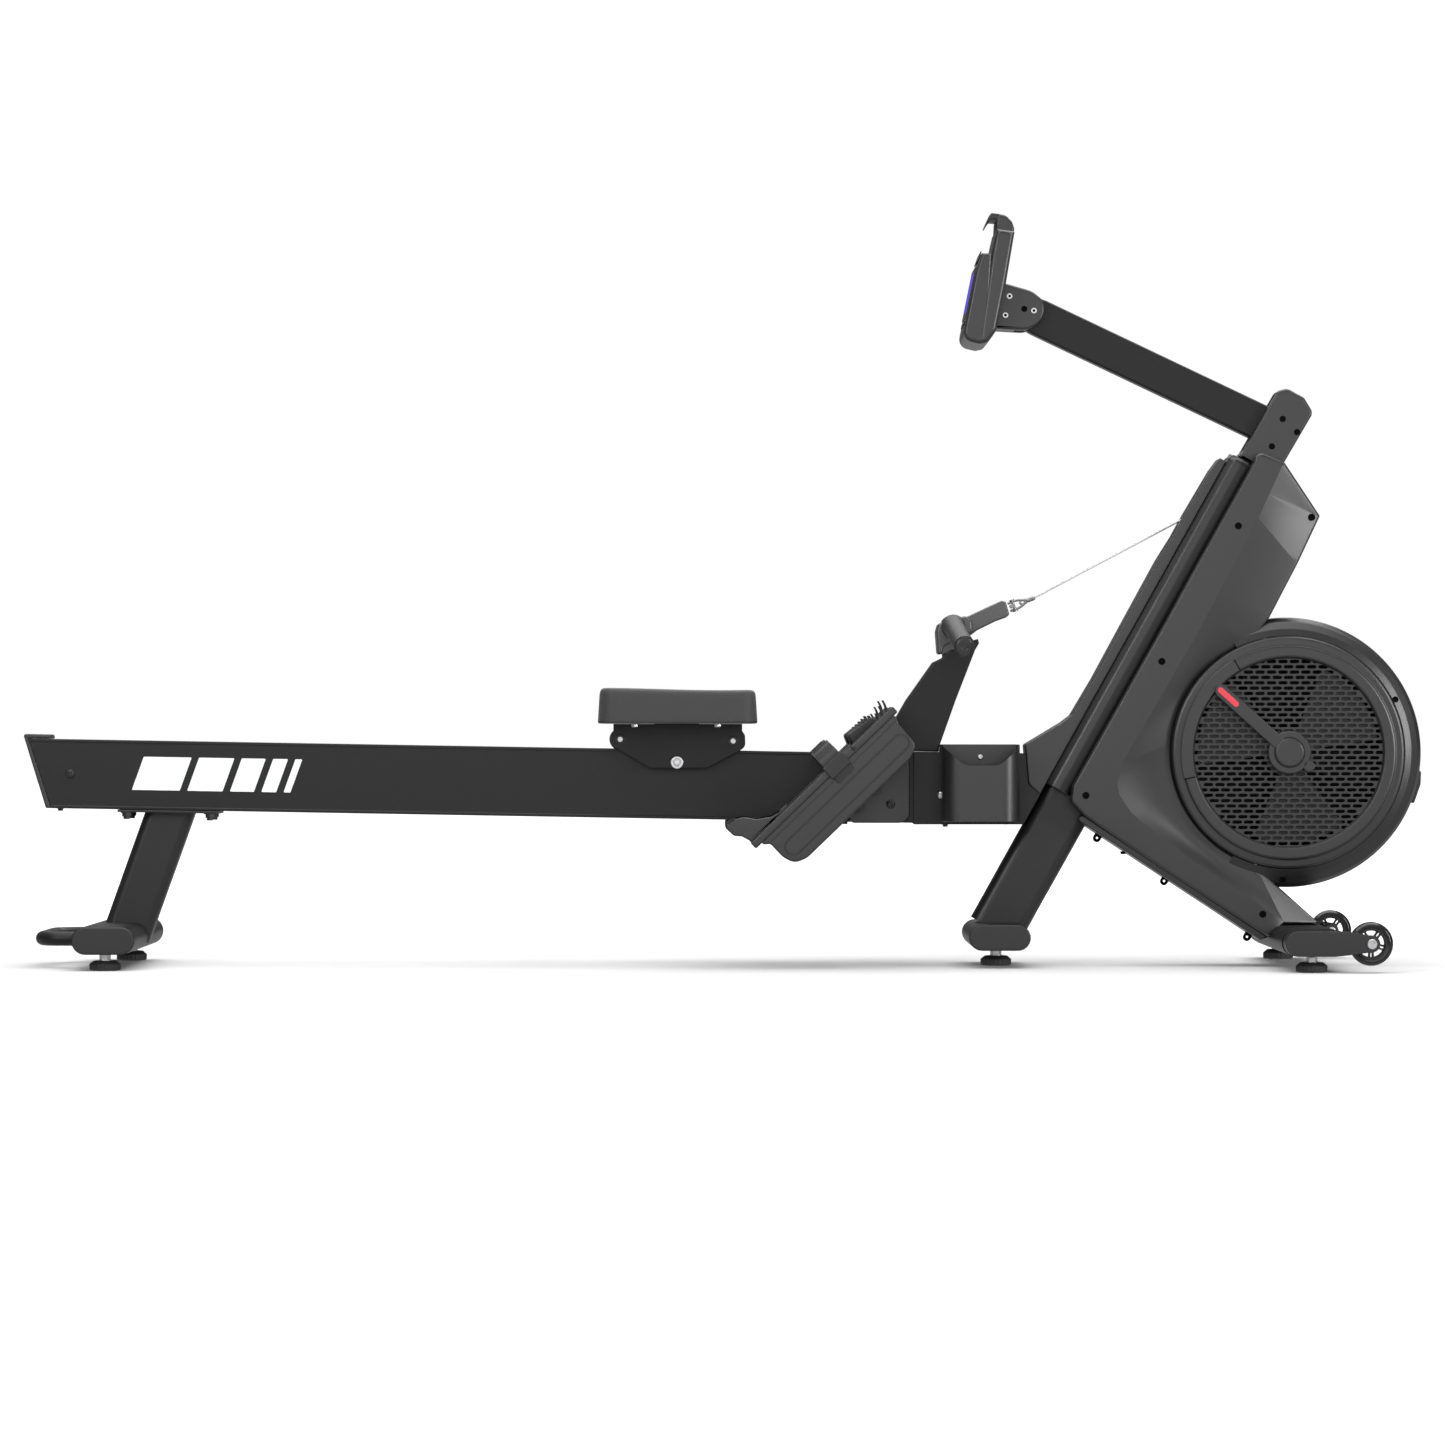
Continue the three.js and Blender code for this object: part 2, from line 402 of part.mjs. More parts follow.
const band = [[-183.6, -18], [-183.6, 30], [-172, 44], [-146, 50], [-94, 50], [-68, 44], [-56.4, 30], [-56.4, -18],
  [-59.4, -18], [-59.4, 28.6], [-69.4, 41.2], [-94.4, 47], [-145.6, 47], [-170.6, 41.2], [-180.6, 28.6],
  [-180.6, -18]];
const bandAt = onPlate(181, 0);
const strap = along(band.map(([y, n]) => [-n, y]), bandAt, PLATE_ANGLE, 38);
node("strap_near", strap, 0x303134);
node("strap_far", mirrored(strap), 0x303134);

// ---- Seat
node("seat_pad", plan([[-216.5, -150], [61.7, -150], [61.7, 150], [-216.5, 150]], 424.5, 484, 24, 24), 0x4d4d4f);
const AXLES = [[-179, 397.6], [18.6, 394.5]];
const plateShape = [[-196, 418], [-196, 394], [-190, 384], [-127.5, 342.7], [-26.5, 342.7], [32, 381], [40, 391],
  [40, 418]];
const plateNear = side(plateShape, -52, -48, 3);
const top = side([[-196, 424.1], [-196, 419.6], [40, 416.6], [40, 421.1]], -52, 52);
const padRest = box(-120, -40, -60, 60, 418, 424.1);
const axle = ([x, z]) => rod([x, z], 5, -55, 55, 12);
const bolt = joined(rod([-79.5, 357], 10, -57, -50, 12), rod([-79.5, 357], 12, -50, -RAIL_HALF - 0.6, 16));
const carriage = joined(top, padRest, plateNear, mirrored(plateNear), axle(AXLES[0]), axle(AXLES[1]), bolt,
  mirrored(bolt));
node("seat_carriage", carriage, 0x2e2e2e, 0.3, 0.5);
for (const [i, where] of [[0, "rear"], [1, "front"]]) {
  const roller = turned(AXLES[i], [[5.4, -22], [18, -22], [19.6, -20.5], [19.6, -9.5], [18, -8], [5.4, -8]], 24);
  node(`seat_roller_${where}_near`, roller, 0x181818);
  node(`seat_roller_${where}_far`, mirrored(roller), 0x181818);
}

// ---- Post, console arm and console
const forkCut = [[900, 906], [960, 906], [985, 912], at([985, 912], 50, MAST_ANGLE), [1016, 1000], [1000, 1030],
  [850, 1030]];
const post = postSkin(0).subtract(side(forkCut, -18, 18)).subtract(rod(ARM_PIVOT, 6.4, -40, 40, 14));
node("post_cover", post, PLASTIC);
const arm = side([at(ARM_PIVOT, 32, ARM_ANGLE - 90), at(ARM_PIVOT, 32, ARM_ANGLE + 90),
  at(at(NECK_PIVOT, 30, ARM_ANGLE + 180), 32, ARM_ANGLE + 90), at(NECK_PIVOT, 29, ARM_ANGLE + 90),
  at(NECK_PIVOT, 29, ARM_ANGLE + 30), at(NECK_PIVOT, 29, ARM_ANGLE), at(NECK_PIVOT, 29, ARM_ANGLE - 30),
  at(NECK_PIVOT, 29, ARM_ANGLE - 90), at(at(NECK_PIVOT, 30, ARM_ANGLE + 180), 32, ARM_ANGLE - 90)], -17, 17)
  .add(rod(ARM_PIVOT, 32, -17, 17, 32))
  .subtract(along(rectangle(-29, 29, -14, 14), at(ARM_PIVOT, 40, ARM_ANGLE + 180), ARM_ANGLE, 600))
  .add(rod(ARM_PIVOT, 6, -35.5, 35.5, 14));
node("console_arm", arm.subtract(rod(NECK_PIVOT, 6.4, -20, 20, 14)), TUBE, 0.4, 0.45);

const neckShape = [[490, 1199], [542.5, 1184], [562, 1168], [566, 1150], [558, 1128], [534, 1114.5], [474, 1118]];
const neck = side(neckShape, -36, 36, 4)
  .subtract(rod(NECK_PIVOT, 30.5, -17.6, 17.6, 28))
  .subtract(side([[524, 1080], [580, 1080], [580, 1220], [512, 1220], [512, 1165], [505, 1140]], -17.6, 17.6))
  .add(rod(NECK_PIVOT, 6, -30, 30, 14));
const headShape = [[424, 1115], [426, 1104], [446, 1090], [459, 1091], [477, 1112.5], [494, 1195], [509, 1283],
  [478.5, 1288], [468.5, 1246], [450, 1246.5], [438, 1190]];
const tongueAxis = Math.atan2(88, 15) / rad(1);
const tongueFoot = [480, 1228];
const pocket = along(rectangle(-4.4, 4.4, -30.4, 30.4), tongueFoot, tongueAxis, 90);
node("console_housing", joined(side(headShape, -87.5, 87.5), neck).subtract(pocket), PLASTIC);
node("console_screen", side([at([424.4, 1145], 0.4, 190), at([439.4, 1219], 0.4, 190), at([439.4, 1219], 3.4, 190),
  at([424.4, 1145], 3.4, 190)], -64, 64), 0x3a3cc0, 0, 0.2);
const clipHead = [[478.4, 1288.9], [509.2, 1283.7], [511, 1290], [504, 1307], [491.5, 1317], [473, 1320],
  [461, 1309], [458.5, 1298], [462, 1297], [469, 1308], [479, 1306]];
node("phone_clip", joined(side(clipHead, -45, 45), along(rectangle(-4, 4, -30, 30), at(tongueFoot, 1, tongueAxis),
  tongueAxis, 72)), PLASTIC);

export default group;
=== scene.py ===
import json
import math

import bmesh
import bpy
from mathutils import Matrix, Vector
from mathutils.geometry import tessellate_polygon

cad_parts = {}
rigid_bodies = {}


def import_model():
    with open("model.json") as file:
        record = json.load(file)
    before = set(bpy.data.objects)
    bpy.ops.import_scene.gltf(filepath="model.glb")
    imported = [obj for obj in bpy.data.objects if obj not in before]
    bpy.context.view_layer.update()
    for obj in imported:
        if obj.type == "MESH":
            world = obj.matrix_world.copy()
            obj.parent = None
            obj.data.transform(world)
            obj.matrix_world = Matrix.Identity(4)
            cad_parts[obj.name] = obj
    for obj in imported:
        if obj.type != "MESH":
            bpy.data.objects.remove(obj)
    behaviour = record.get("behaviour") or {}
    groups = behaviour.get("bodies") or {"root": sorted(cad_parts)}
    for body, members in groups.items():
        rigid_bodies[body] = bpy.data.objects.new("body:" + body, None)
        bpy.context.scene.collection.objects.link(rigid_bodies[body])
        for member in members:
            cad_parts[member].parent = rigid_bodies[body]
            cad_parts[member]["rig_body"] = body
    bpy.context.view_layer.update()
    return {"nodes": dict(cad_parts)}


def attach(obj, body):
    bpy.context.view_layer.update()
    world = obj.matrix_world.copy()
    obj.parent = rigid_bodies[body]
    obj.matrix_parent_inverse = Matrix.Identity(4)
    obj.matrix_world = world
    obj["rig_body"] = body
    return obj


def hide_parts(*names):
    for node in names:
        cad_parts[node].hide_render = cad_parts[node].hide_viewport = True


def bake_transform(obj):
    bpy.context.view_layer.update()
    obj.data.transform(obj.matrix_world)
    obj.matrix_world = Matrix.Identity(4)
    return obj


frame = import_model()

# All helper dimensions are millimetres; build() turns them into metres.
# X runs from the rear of the rail to the fan, -Y is the near side, Z is up.
FAN = (988, 374.5)
MAST_FOOT, MAST_ANGLE, MAST_LENGTH, MAST_HALF = (482.3, 67), 60.8, 927, 48.5
ARM_PIVOT, NECK_PIVOT, ARM_ANGLE = (966, 944.2), (529, 1152), 154.8
WHEEL_AXLE = (1104.4, 49.6)
SLOPE = 0.0171  # fall of the rail toward the fan
PLATE = 44  # slope of the foot plates
PIN, PULL = (508.7, 631.3), 20.7  # shackle pin and the lean of the cable there
DISTANCE = 8.6  # of the camera, in metres


def cosd(a):
    return math.cos(math.radians(a))


def sind(a):
    return math.sin(math.radians(a))


def rail_top(x):
    return 378 - SLOPE * x


def rail_bottom(x):
    return 256.5 - SLOPE * x


# ---- Outlines: lists of (u, v) points ------------------------------------------------------------------------
def at(point, length, angle):
    return (point[0] + length * cosd(angle), point[1] + length * sind(angle))


def arc(centre, r, a, b, n=12):
    return [at(centre, r, a + (b - a) * i / n) for i in range(n + 1)]


def circle(centre, r, n=32):
    return arc(centre, r, 0, 360 - 360 / n, n - 1)


def stadium(cx, cz, length, width, n=10, angle=0):
    h = (length - width) / 2
    ends = arc((h, 0), width / 2, -90, 90, n) + arc((-h, 0), width / 2, 90, 270, n)
    return [(cx + x * cosd(angle) - z * sind(angle), cz + x * sind(angle) + z * cosd(angle)) for x, z in ends]


def rectangle(x0, x1, z0, z1):
    return [(x0, z0), (x1, z0), (x1, z1), (x0, z1)]


def ccw(loop):
    loop = [p for i, p in enumerate(loop) if math.dist(p, loop[i - 1]) > 0.01]
    area = sum(a[0] * b[1] - b[0] * a[1] for a, b in zip(loop, loop[1:] + loop[:1]))
    return loop if area > 0 else loop[::-1]


def rounded(points, r, n=5, closed=True):
    """The outline with its corners turned into arcs; r is one radius or one per point."""
    out, count = [], len(points)
    for i, p in enumerate(points):
        radius = r[i] if isinstance(r, (list, tuple)) else r
        p = Vector(p)
        a, b = Vector(points[i - 1]) - p, Vector(points[(i + 1) % count]) - p
        ends = not closed and i in (0, count - 1)
        if radius <= 0 or ends or min(a.length, b.length) < 1e-6 or a.angle(b) > math.radians(177):
            out.append(tuple(p))
            continue
        half = a.angle(b) / 2
        t = min(radius / math.tan(half), 0.48 * a.length, 0.48 * b.length)
        a, b = a.normalized(), b.normalized()
        centre = p + (a + b).normalized() * t / math.cos(half)
        s, e = p + a * t - centre, p + b * t - centre
        turn = math.atan2(s.x * e.y - s.y * e.x, s.dot(e))
        for k in range(n + 1):
            out.append(tuple(centre + Matrix.Rotation(turn * k / n, 2) @ s))
    return out


def inset(loop, d):
    """An anticlockwise loop moved inwards by d."""
    out = []
    for i, b in enumerate(loop):
        a, c = loop[i - 1], loop[(i + 1) % len(loop)]
        e1 = Vector((b[0] - a[0], b[1] - a[1])).normalized()
        e2 = Vector((c[0] - b[0], c[1] - b[1])).normalized()
        k = d / max(1 + e1.dot(e2), 0.35)
        out.append((b[0] - (e1.y + e2.y) * k, b[1] + (e1.x + e2.x) * k))
    return out


# ---- Solids: (vertices, faces) -------------------------------------------------------------------------------
def side_on(u, v, w):
    return (u, w, v)


def plan(u, v, w):
    return (u, v, w)


def leaning(foot, angle):
    """Sections (in-plane across, y) pushed by w from foot along angle."""
    def to(u, v, w):
        x, z = at(at(foot, w, angle), u, angle - 90)
        return (x, v, z)
    return to


def slab(outer, w0, w1, bevel=1.5, holes=(), to=side_on, steps=3, bevel0=None):
    """A plate between w0 and w1 with rounded edges and through holes."""
    b0, b1 = bevel if bevel0 is None else bevel0, bevel
    stack = [(b0 * (1 - sind(90 * k / steps)), w0 + b0 * (1 - cosd(90 * k / steps))) for k in range(steps + 1)]
    stack += [(b1 * (1 - sind(90 * k / steps)), w1 - b1 * (1 - cosd(90 * k / steps))) for k in range(steps, -1, -1)]
    stack = [s for i, s in enumerate(stack) if i == 0 or math.dist(s, stack[i - 1]) > 1e-4]
    loops = [ccw(list(outer))] + [ccw(list(h))[::-1] for h in holes]
    verts, faces, caps = [], [], ([], [])
    for loop in loops:
        n, base = len(loop), len(verts)
        for d, w in stack:
            verts += [to(u, v, w) for u, v in inset(loop, d)]
        for k in range(len(stack) - 1):
            for i in range(n):
                j = (i + 1) % n
                faces.append((base + k * n + i, base + k * n + j, base + (k + 1) * n + j, base + (k + 1) * n + i))
        for cap, k in ((caps[0], 0), (caps[1], len(stack) - 1)):
            cap.append([(base + k * n + i, p) for i, p in enumerate(inset(loop, stack[k][0]))])
    for cap in caps:
        index = [i for ring in cap for i, _ in ring]
        for tri in tessellate_polygon([[Vector((u, v, 0)) for _, (u, v) in ring] for ring in cap]):
            faces.append(tuple(index[i] for i in tri))
    return verts, faces


def loft(rings, caps=(True, True), closed=False):
    """Rings of 3-D points with equal counts joined by quads."""
    n, count = len(rings[0]), len(rings)
    verts = [tuple(p) for ring in rings for p in ring]
    faces = []
    for k in range(count if closed else count - 1):
        for i in range(n):
            j, following = (i + 1) % n, (k + 1) % count
            faces.append((k * n + i, k * n + j, following * n + j, following * n + i))
    for wanted, k in zip(caps, (0, count - 1)):
        if wanted and not closed:
            faces.append(tuple(k * n + i for i in range(n)))
    return verts, faces


def patch(rows):
    """An open surface through rows of 3-D points."""
    n = len(rows[0])
    verts = [tuple(p) for row in rows for p in row]
    return verts, [(k * n + i, k * n + i + 1, (k + 1) * n + i + 1, (k + 1) * n + i)
                   for k in range(len(rows) - 1) for i in range(n - 1)]


def lathe(profile, centre, axis="y", n=64, start=0, sweep=360):
    """A profile of (radius, height) turned about an axis through centre (x, z for y, or x, y for z)."""
    turns = n if sweep == 360 else n + 1
    verts, faces, m = [], [], len(profile)
    for i in range(turns):
        for r, h in profile:
            u, v = at(centre, r, start + sweep * i / n)
            verts.append((u, h, v) if axis == "y" else (u, v, h))
    for i in range(n):
        j = (i + 1) % turns
        for k in range(m):
            q = (k + 1) % m
            faces.append((i * m + k, i * m + q, j * m + q, j * m + k))
    if turns > n:
        faces += [tuple(range(m)), tuple(n * m + k for k in range(m))]
    return verts, faces


def peg(centre, r, y0, y1, n=24, r0=0.2):
    """A plain round bar across the machine."""
    return lathe([(r0, y0), (r, y0), (r, y1), (r0, y1)], centre, n=n)


def tube(path, radius, n=14):
    """A round bar along 3-D points; radius is one number or one per point."""
    pts = [Vector(p) for p in path]
    radii = radius if isinstance(radius, list) else [radius] * len(pts)
    tangents = [(pts[min(i + 1, len(pts) - 1)] - pts[max(i - 1, 0)]).normalized() for i in range(len(pts))]
    normal = tangents[0].orthogonal()
    rings = []
    for p, t, r in zip(pts, tangents, radii):
        normal = (normal - t * normal.dot(t)).normalized()
        across = t.cross(normal)
        rings.append([p + normal * a * r + across * b * r for a, b in circle((0, 0), 1, n)])
    return loft(rings)


def smooth_path(points, n=8):
    """A Catmull-Rom curve through 3-D points."""
    pts = [Vector(p) for p in points]
    pts = [pts[0] * 2 - pts[1]] + pts + [pts[-1] * 2 - pts[-2]]
    out = []
    for i in range(1, len(pts) - 2):
        a, b, c, d = pts[i - 1:i + 3]
        for k in range(n):
            t = k / n
            bend, twist = 2 * a - 5 * b + 4 * c - d, 3 * b - a - 3 * c + d
            out.append(tuple(0.5 * (2 * b + (c - a) * t + bend * t * t + twist * t ** 3)))
    return out + [tuple(pts[-2])]


def turned_onto(solid, origin, axis):
    """A solid made about +Z at (0, 0, 0), moved to origin with +Z along axis."""
    m = Vector((0, 0, 1)).rotation_difference(Vector(axis)).to_matrix()
    return [tuple(m @ Vector(v) + Vector(origin)) for v in solid[0]], solid[1]


def mirrored(solid):
    return [(x, -y, z) for x, y, z in solid[0]], solid[1]


def hexagon(r, n=24):
    return [at((0, 0), r / cosd((a % 60) - 30), a) for a in (360 * i / n for i in range(n))]


def screw(origin, axis, r, kind):
    """A fastener head standing on origin, pointing along axis: rings of (shape, width, height), in radii."""
    kinds = {
        "hex": "o 1.25 0, o 1.25 .18, x .88 .2, x .88 .78, o .84 .92, o .5 .94",
        "button": "o 1 0, o .99 .18, o .86 .42, o .6 .55, x .44 .55, x .4 .2",
        "dish": "o 1 0, o 1 .07, o .9 .12, o .8 .03, x .46 .03, x .4 .01",  # a shallow well with its screw at the bottom; given the near-black finish, it carries painted shade for a deep screw hole
        "flat": "o 1 0, o 1 .2, o .92 .3, x .56 .3, x .5 .1",
    }
    rings = []
    for ring in kinds[kind].split(","):
        shape, width, height = ring.split()
        outline = circle((0, 0), r, 24) if shape == "o" else hexagon(r)
        rings.append([(x * float(width), y * float(width), float(height) * r) for x, y in outline])
    return turned_onto(loft(rings), origin, axis)


def pair(x, y, z, r, kind):
    """The same fastener on the near and on the far side."""
    return [screw((x, -y, z), NEAR, r, kind), screw((x, y, z), FAR, r, kind)]


def block(points, radii, half, bevel=1.5, n=5, **how):
    """A slab from -half to half across the machine, with the corners of its outline rounded."""
    return slab(rounded(points, radii, n), -half, half, bevel, **how)


NEAR, FAR = (0, -1, 0), (0, 1, 0)


def mesh_object(name, solids):
    """An object from solids; points that coincide are joined and all faces turned outwards."""
    bm = bmesh.new()
    for verts, faces in solids if isinstance(solids, list) else [solids]:
        vs = [bm.verts.new([c * 0.001 for c in v]) for v in verts]
        for f in faces:
            if len(set(f)) > 2:
                try:
                    bm.faces.new([vs[i] for i in f])
                except ValueError:  # this face is there already
                    pass
    bmesh.ops.remove_doubles(bm, verts=bm.verts, dist=2e-6)
    bmesh.ops.recalc_face_normals(bm, faces=bm.faces)
    mesh = bpy.data.meshes.new(name)
    bm.to_mesh(mesh)
    bm.free()
    obj = bpy.data.objects.new(name, mesh)
    bpy.context.scene.collection.objects.link(obj)
    return obj


def modify(obj, kind, **settings):
    m = obj.modifiers.new(kind.lower(), kind)
    for key, value in settings.items():
        setattr(m, key, value)


def bake(obj):
    graph = bpy.context.evaluated_depsgraph_get()
    mesh = bpy.data.meshes.new_from_object(obj.evaluated_get(graph), depsgraph=graph)
    obj.modifiers.clear()
    obj.data = mesh


def build(name, solids, material, body="frame", replaces="", sharp=38, weighted=True, bevel=0, cut=(), subdivide=0):
    """One named piece from solids, cut, rounded and shaded, riding on a CAD body."""
    obj = mesh_object(name, solids)
    cutters = [mesh_object("cutter", solid) for solid in cut]
    for cutter in cutters:
        modify(obj, "BOOLEAN", operation="DIFFERENCE", object=cutter, solver="EXACT")
    if bevel:
        modify(obj, "BEVEL", width=bevel * 0.001, segments=2, limit_method="ANGLE", angle_limit=math.radians(32),
               miter_outer="MITER_ARC")
    if subdivide:
        modify(obj, "SUBSURF", levels=subdivide, render_levels=subdivide)
    if obj.modifiers:
        bake(obj)
    for cutter in cutters:
        bpy.data.objects.remove(cutter)
    obj.data.shade_smooth()
    if sharp is not None:
        obj.data.set_sharp_from_angle(angle=math.radians(sharp))
    if weighted:
        modify(obj, "WEIGHTED_NORMAL", keep_sharp=True, weight=90)
        bake(obj)
    obj.data.materials.clear()
    obj.data.materials.append(material)
    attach(obj, body)
    if replaces:
        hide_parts(replaces)
    return obj


def both(name, solids, material, body="frame", replaces="", cut=(), **how):
    """A near piece and its mirrored far twin; {} stands for the side."""
    return [build(name.format(side), [turned(s) for s in solids], material, body.format(side), replaces.format(side),
                  cut=[turned(c) for c in cut], **how)
            for side, turned in (("near", lambda solid: solid), ("far", mirrored))]


# ---- Materials -----------------------------------------------------------------------------------------------
def add(tree, kind, inputs, **settings):
    """A new shader node; each of its inputs gets a value, or a link from a socket."""
    n = tree.nodes.new("ShaderNode" + kind)
    for key, value in settings.items():
        setattr(n, key, value)
    feed(tree, n, inputs)
    return n.outputs


def feed(tree, n, inputs):
    for key, value in inputs.items():
        if isinstance(value, bpy.types.NodeSocket):
            tree.links.new(value, n.inputs[key])
        else:
            n.inputs[key].default_value = value


def new_material(name):
    """A new material with nodes, its tree, its shader and its object coordinates."""
    m = bpy.data.materials.new(name)
    m.use_nodes = True
    t = m.node_tree
    return m, t, t.nodes["Principled BSDF"], add(t, "TexCoord", {})["Object"]


def surface(name, slot, color, rough, bump, grain=1400, spec=0.5, metal=0.0, mottle=0.12, stretch=(1, 1, 1), coat=0.0,
            sheen=0.0, pebble=0):
    """A procedural finish: fine grain in the bump, slow mottling in colour and roughness."""
    m, t, shader, where = new_material(name)
    if isinstance(color, float):
        color = (color, color, color)
    place = add(t, "Mapping", {"Vector": where, "Scale": stretch})[0]
    slow = add(t, "TexNoise", {"Vector": place, "Scale": 11, "Detail": 5})["Fac"]
    fine = add(t, "TexVoronoi" if pebble else "TexNoise", {"Vector": place, "Scale": pebble or grain})
    shade = add(t, "Mix", {0: slow, 6: [c * (1 - mottle) for c in color] + [1],
                           7: [min(1, c * (1 + mottle)) for c in color] + [1]}, data_type="RGBA")[2]
    gloss = add(t, "MapRange", {"Value": slow, "To Min": rough - 0.05, "To Max": rough + 0.05})[0]
    bumps = add(t, "Bump", {"Height": fine["Distance" if pebble else "Fac"], "Strength": bump, "Distance": 0.0004})[0]
    feed(t, shader, {"Base Color": shade, "Roughness": gloss, "Normal": bumps, "Metallic": metal,
                     "Specular IOR Level": spec, "Coat Weight": coat, "Coat Roughness": 0.12, "Sheen Weight": sheen})
    m["slot"] = slot
    return m


TUBE = surface("powder_coat", "painted_tube", (0.0075, 0.0075, 0.0078), 0.4, 0.06, 2600, 0.24)
# the tube's powder coat again, a little lighter and glossier: its lighter colour is painted light on the mast and the
# rear leg
POST = surface("powder_coat_painted_light", "painted_tube", (0.009, 0.009, 0.0093), 0.38, 0.05, 2600, 0.4)
RAIL = surface("rail_black", "rail_skin", (0.007, 0.007, 0.0073), 0.40, 0.10, 3000, 0.3, stretch=(0.05, 1, 1))
PLASTIC = surface("moulded_plastic", "cover_plastic", (0.012, 0.012, 0.0123), 0.37, 0.035, 2200, 0.56)
DUSK = surface("moulded_plastic_dark", "cover_plastic", (0.010, 0.010, 0.0102), 0.34, 0.035, 2200)
BLACK = surface("black_plastic", "black_plastic", 0.012, 0.45, 0.15, 1800, 0.45)
GRILLE = surface("grille_plastic", "black_plastic", (0.013, 0.013, 0.0133), 0.4, 0.03, 1800)
# near-black with almost no gloss: painted shade in the shallow screw wells, standing in for deep holes; it is also the
# colour of the black cover tabs and of the joints at the scale's ends
HOLE = surface("black_and_painted_hole_shade", "black_plastic", 0.0015, 0.8, 0.05, 900, 0.05)
# the cover plastic again, nearly three times lighter and glossier: its lighter colour is a painted highlight on the
# handle's yoke
YOKE = surface("yoke_plastic_painted_highlight", "cover_plastic", (0.034, 0.034, 0.0345), 0.34, 0.004, 2400, 0.7, mottle=0.05)
SHUTTER = surface("shutter_plastic", "black_plastic", (0.009, 0.009, 0.0092), 0.4, 0.04, 1800, 0.38)
VANE = surface("fan_plastic", "black_plastic", 0.004, 0.55, 0.05, 1500, 0.18)
SHACKLE = surface("forged_steel", "zinc", (0.2, 0.2, 0.205), 0.28, 0.08, 900, metal=0.9)
ZINC = surface("zinc_plate", "zinc", (0.5, 0.5, 0.51), 0.32, 0.12, 900, metal=0.9)
WIRE = surface("twisted_wire", "wire", (0.5, 0.5, 0.51), 0.5, 0.2, 2500)
RUBBER = surface("rubber", "rubber", 0.011, 0.62, 0.3, 1500, 0.4)
TYRE = surface("tyre_urethane", "tyre", 0.005, 0.16, 0.02, 500, 0.32, coat=0.15)
SKIN = surface("seat_skin", "seat_cover", (0.032, 0.032, 0.0335), 0.6, 0.28, spec=0.35, pebble=620, sheen=0.12)
STRAP = surface("strap_rubber", "strap_web", (0.009, 0.009, 0.0095), 0.4, 0.08, 1700, 0.4)
GRIP = surface("grip_foam", "rubber", (0.010, 0.010, 0.0105), 0.5, 0.05, 1500, 0.3)
WHITE = surface("white_print", "scale_plate", 0.86, 0.5, 0.03, 1500, mottle=0.02)
RED = surface("red_print", "scale_plate", (0.62, 0.035, 0.055), 0.38, 0.05, 1500, mottle=0.06)
STEEL = surface("running_strip", "zinc", (0.42, 0.42, 0.43), 0.3, 0.05, 700, metal=1, stretch=(0.04, 1, 1))
SCREEN = surface("display_glass", "screen", (0.012, 0.010, 0.05), 0.3, 0.01, 200, 0.1, mottle=0.2)


def light_up(material, low, high):
    """A glow that changes from a lower to an upper colour over the height of the display."""
    t = material.node_tree
    height = add(t, "SeparateXYZ", {0: add(t, "TexCoord", {})["Object"]})["Z"]
    ramp = add(t, "ValToRGB", {0: add(t, "MapRange", {"Value": height, "From Min": 1.14, "From Max": 1.22})[0]})[0]
    for element, color in zip(ramp.node.color_ramp.elements, (low, high)):
        element.color = color
    feed(t, t.nodes["Principled BSDF"], {"Emission Color": ramp, "Emission Strength": 0.9})


light_up(SCREEN, (0.03, 0.02, 0.75, 1), (0.09, 0.04, 0.62, 1))


def tidy_node(name, material):
    """A CAD node that stays: merged, with rounded edges and a real finish."""
    o = frame["nodes"][name]
    modify(o, "WELD", merge_threshold=2e-6)
    modify(o, "DECIMATE", decimate_type="DISSOLVE", angle_limit=math.radians(0.6))
    modify(o, "BEVEL", width=0.0005, segments=2, limit_method="ANGLE", angle_limit=math.radians(34))
    o.data.shade_smooth()
    modify(o, "WEIGHTED_NORMAL", weight=90)
    o.data.materials.clear()
    o.data.materials.append(material)


# ---- Rail, end cap, legs and bars ----------------------------------------------------------------------------
def on_rail(u, v, w):
    """(y, height over the rail's top face, distance from the rear end); the rear end is cut on a slant."""
    x = w - 1217.5 - v / 3 * max(0, 1 - w / 300)
    return (x, u, rail_top(x) + v)


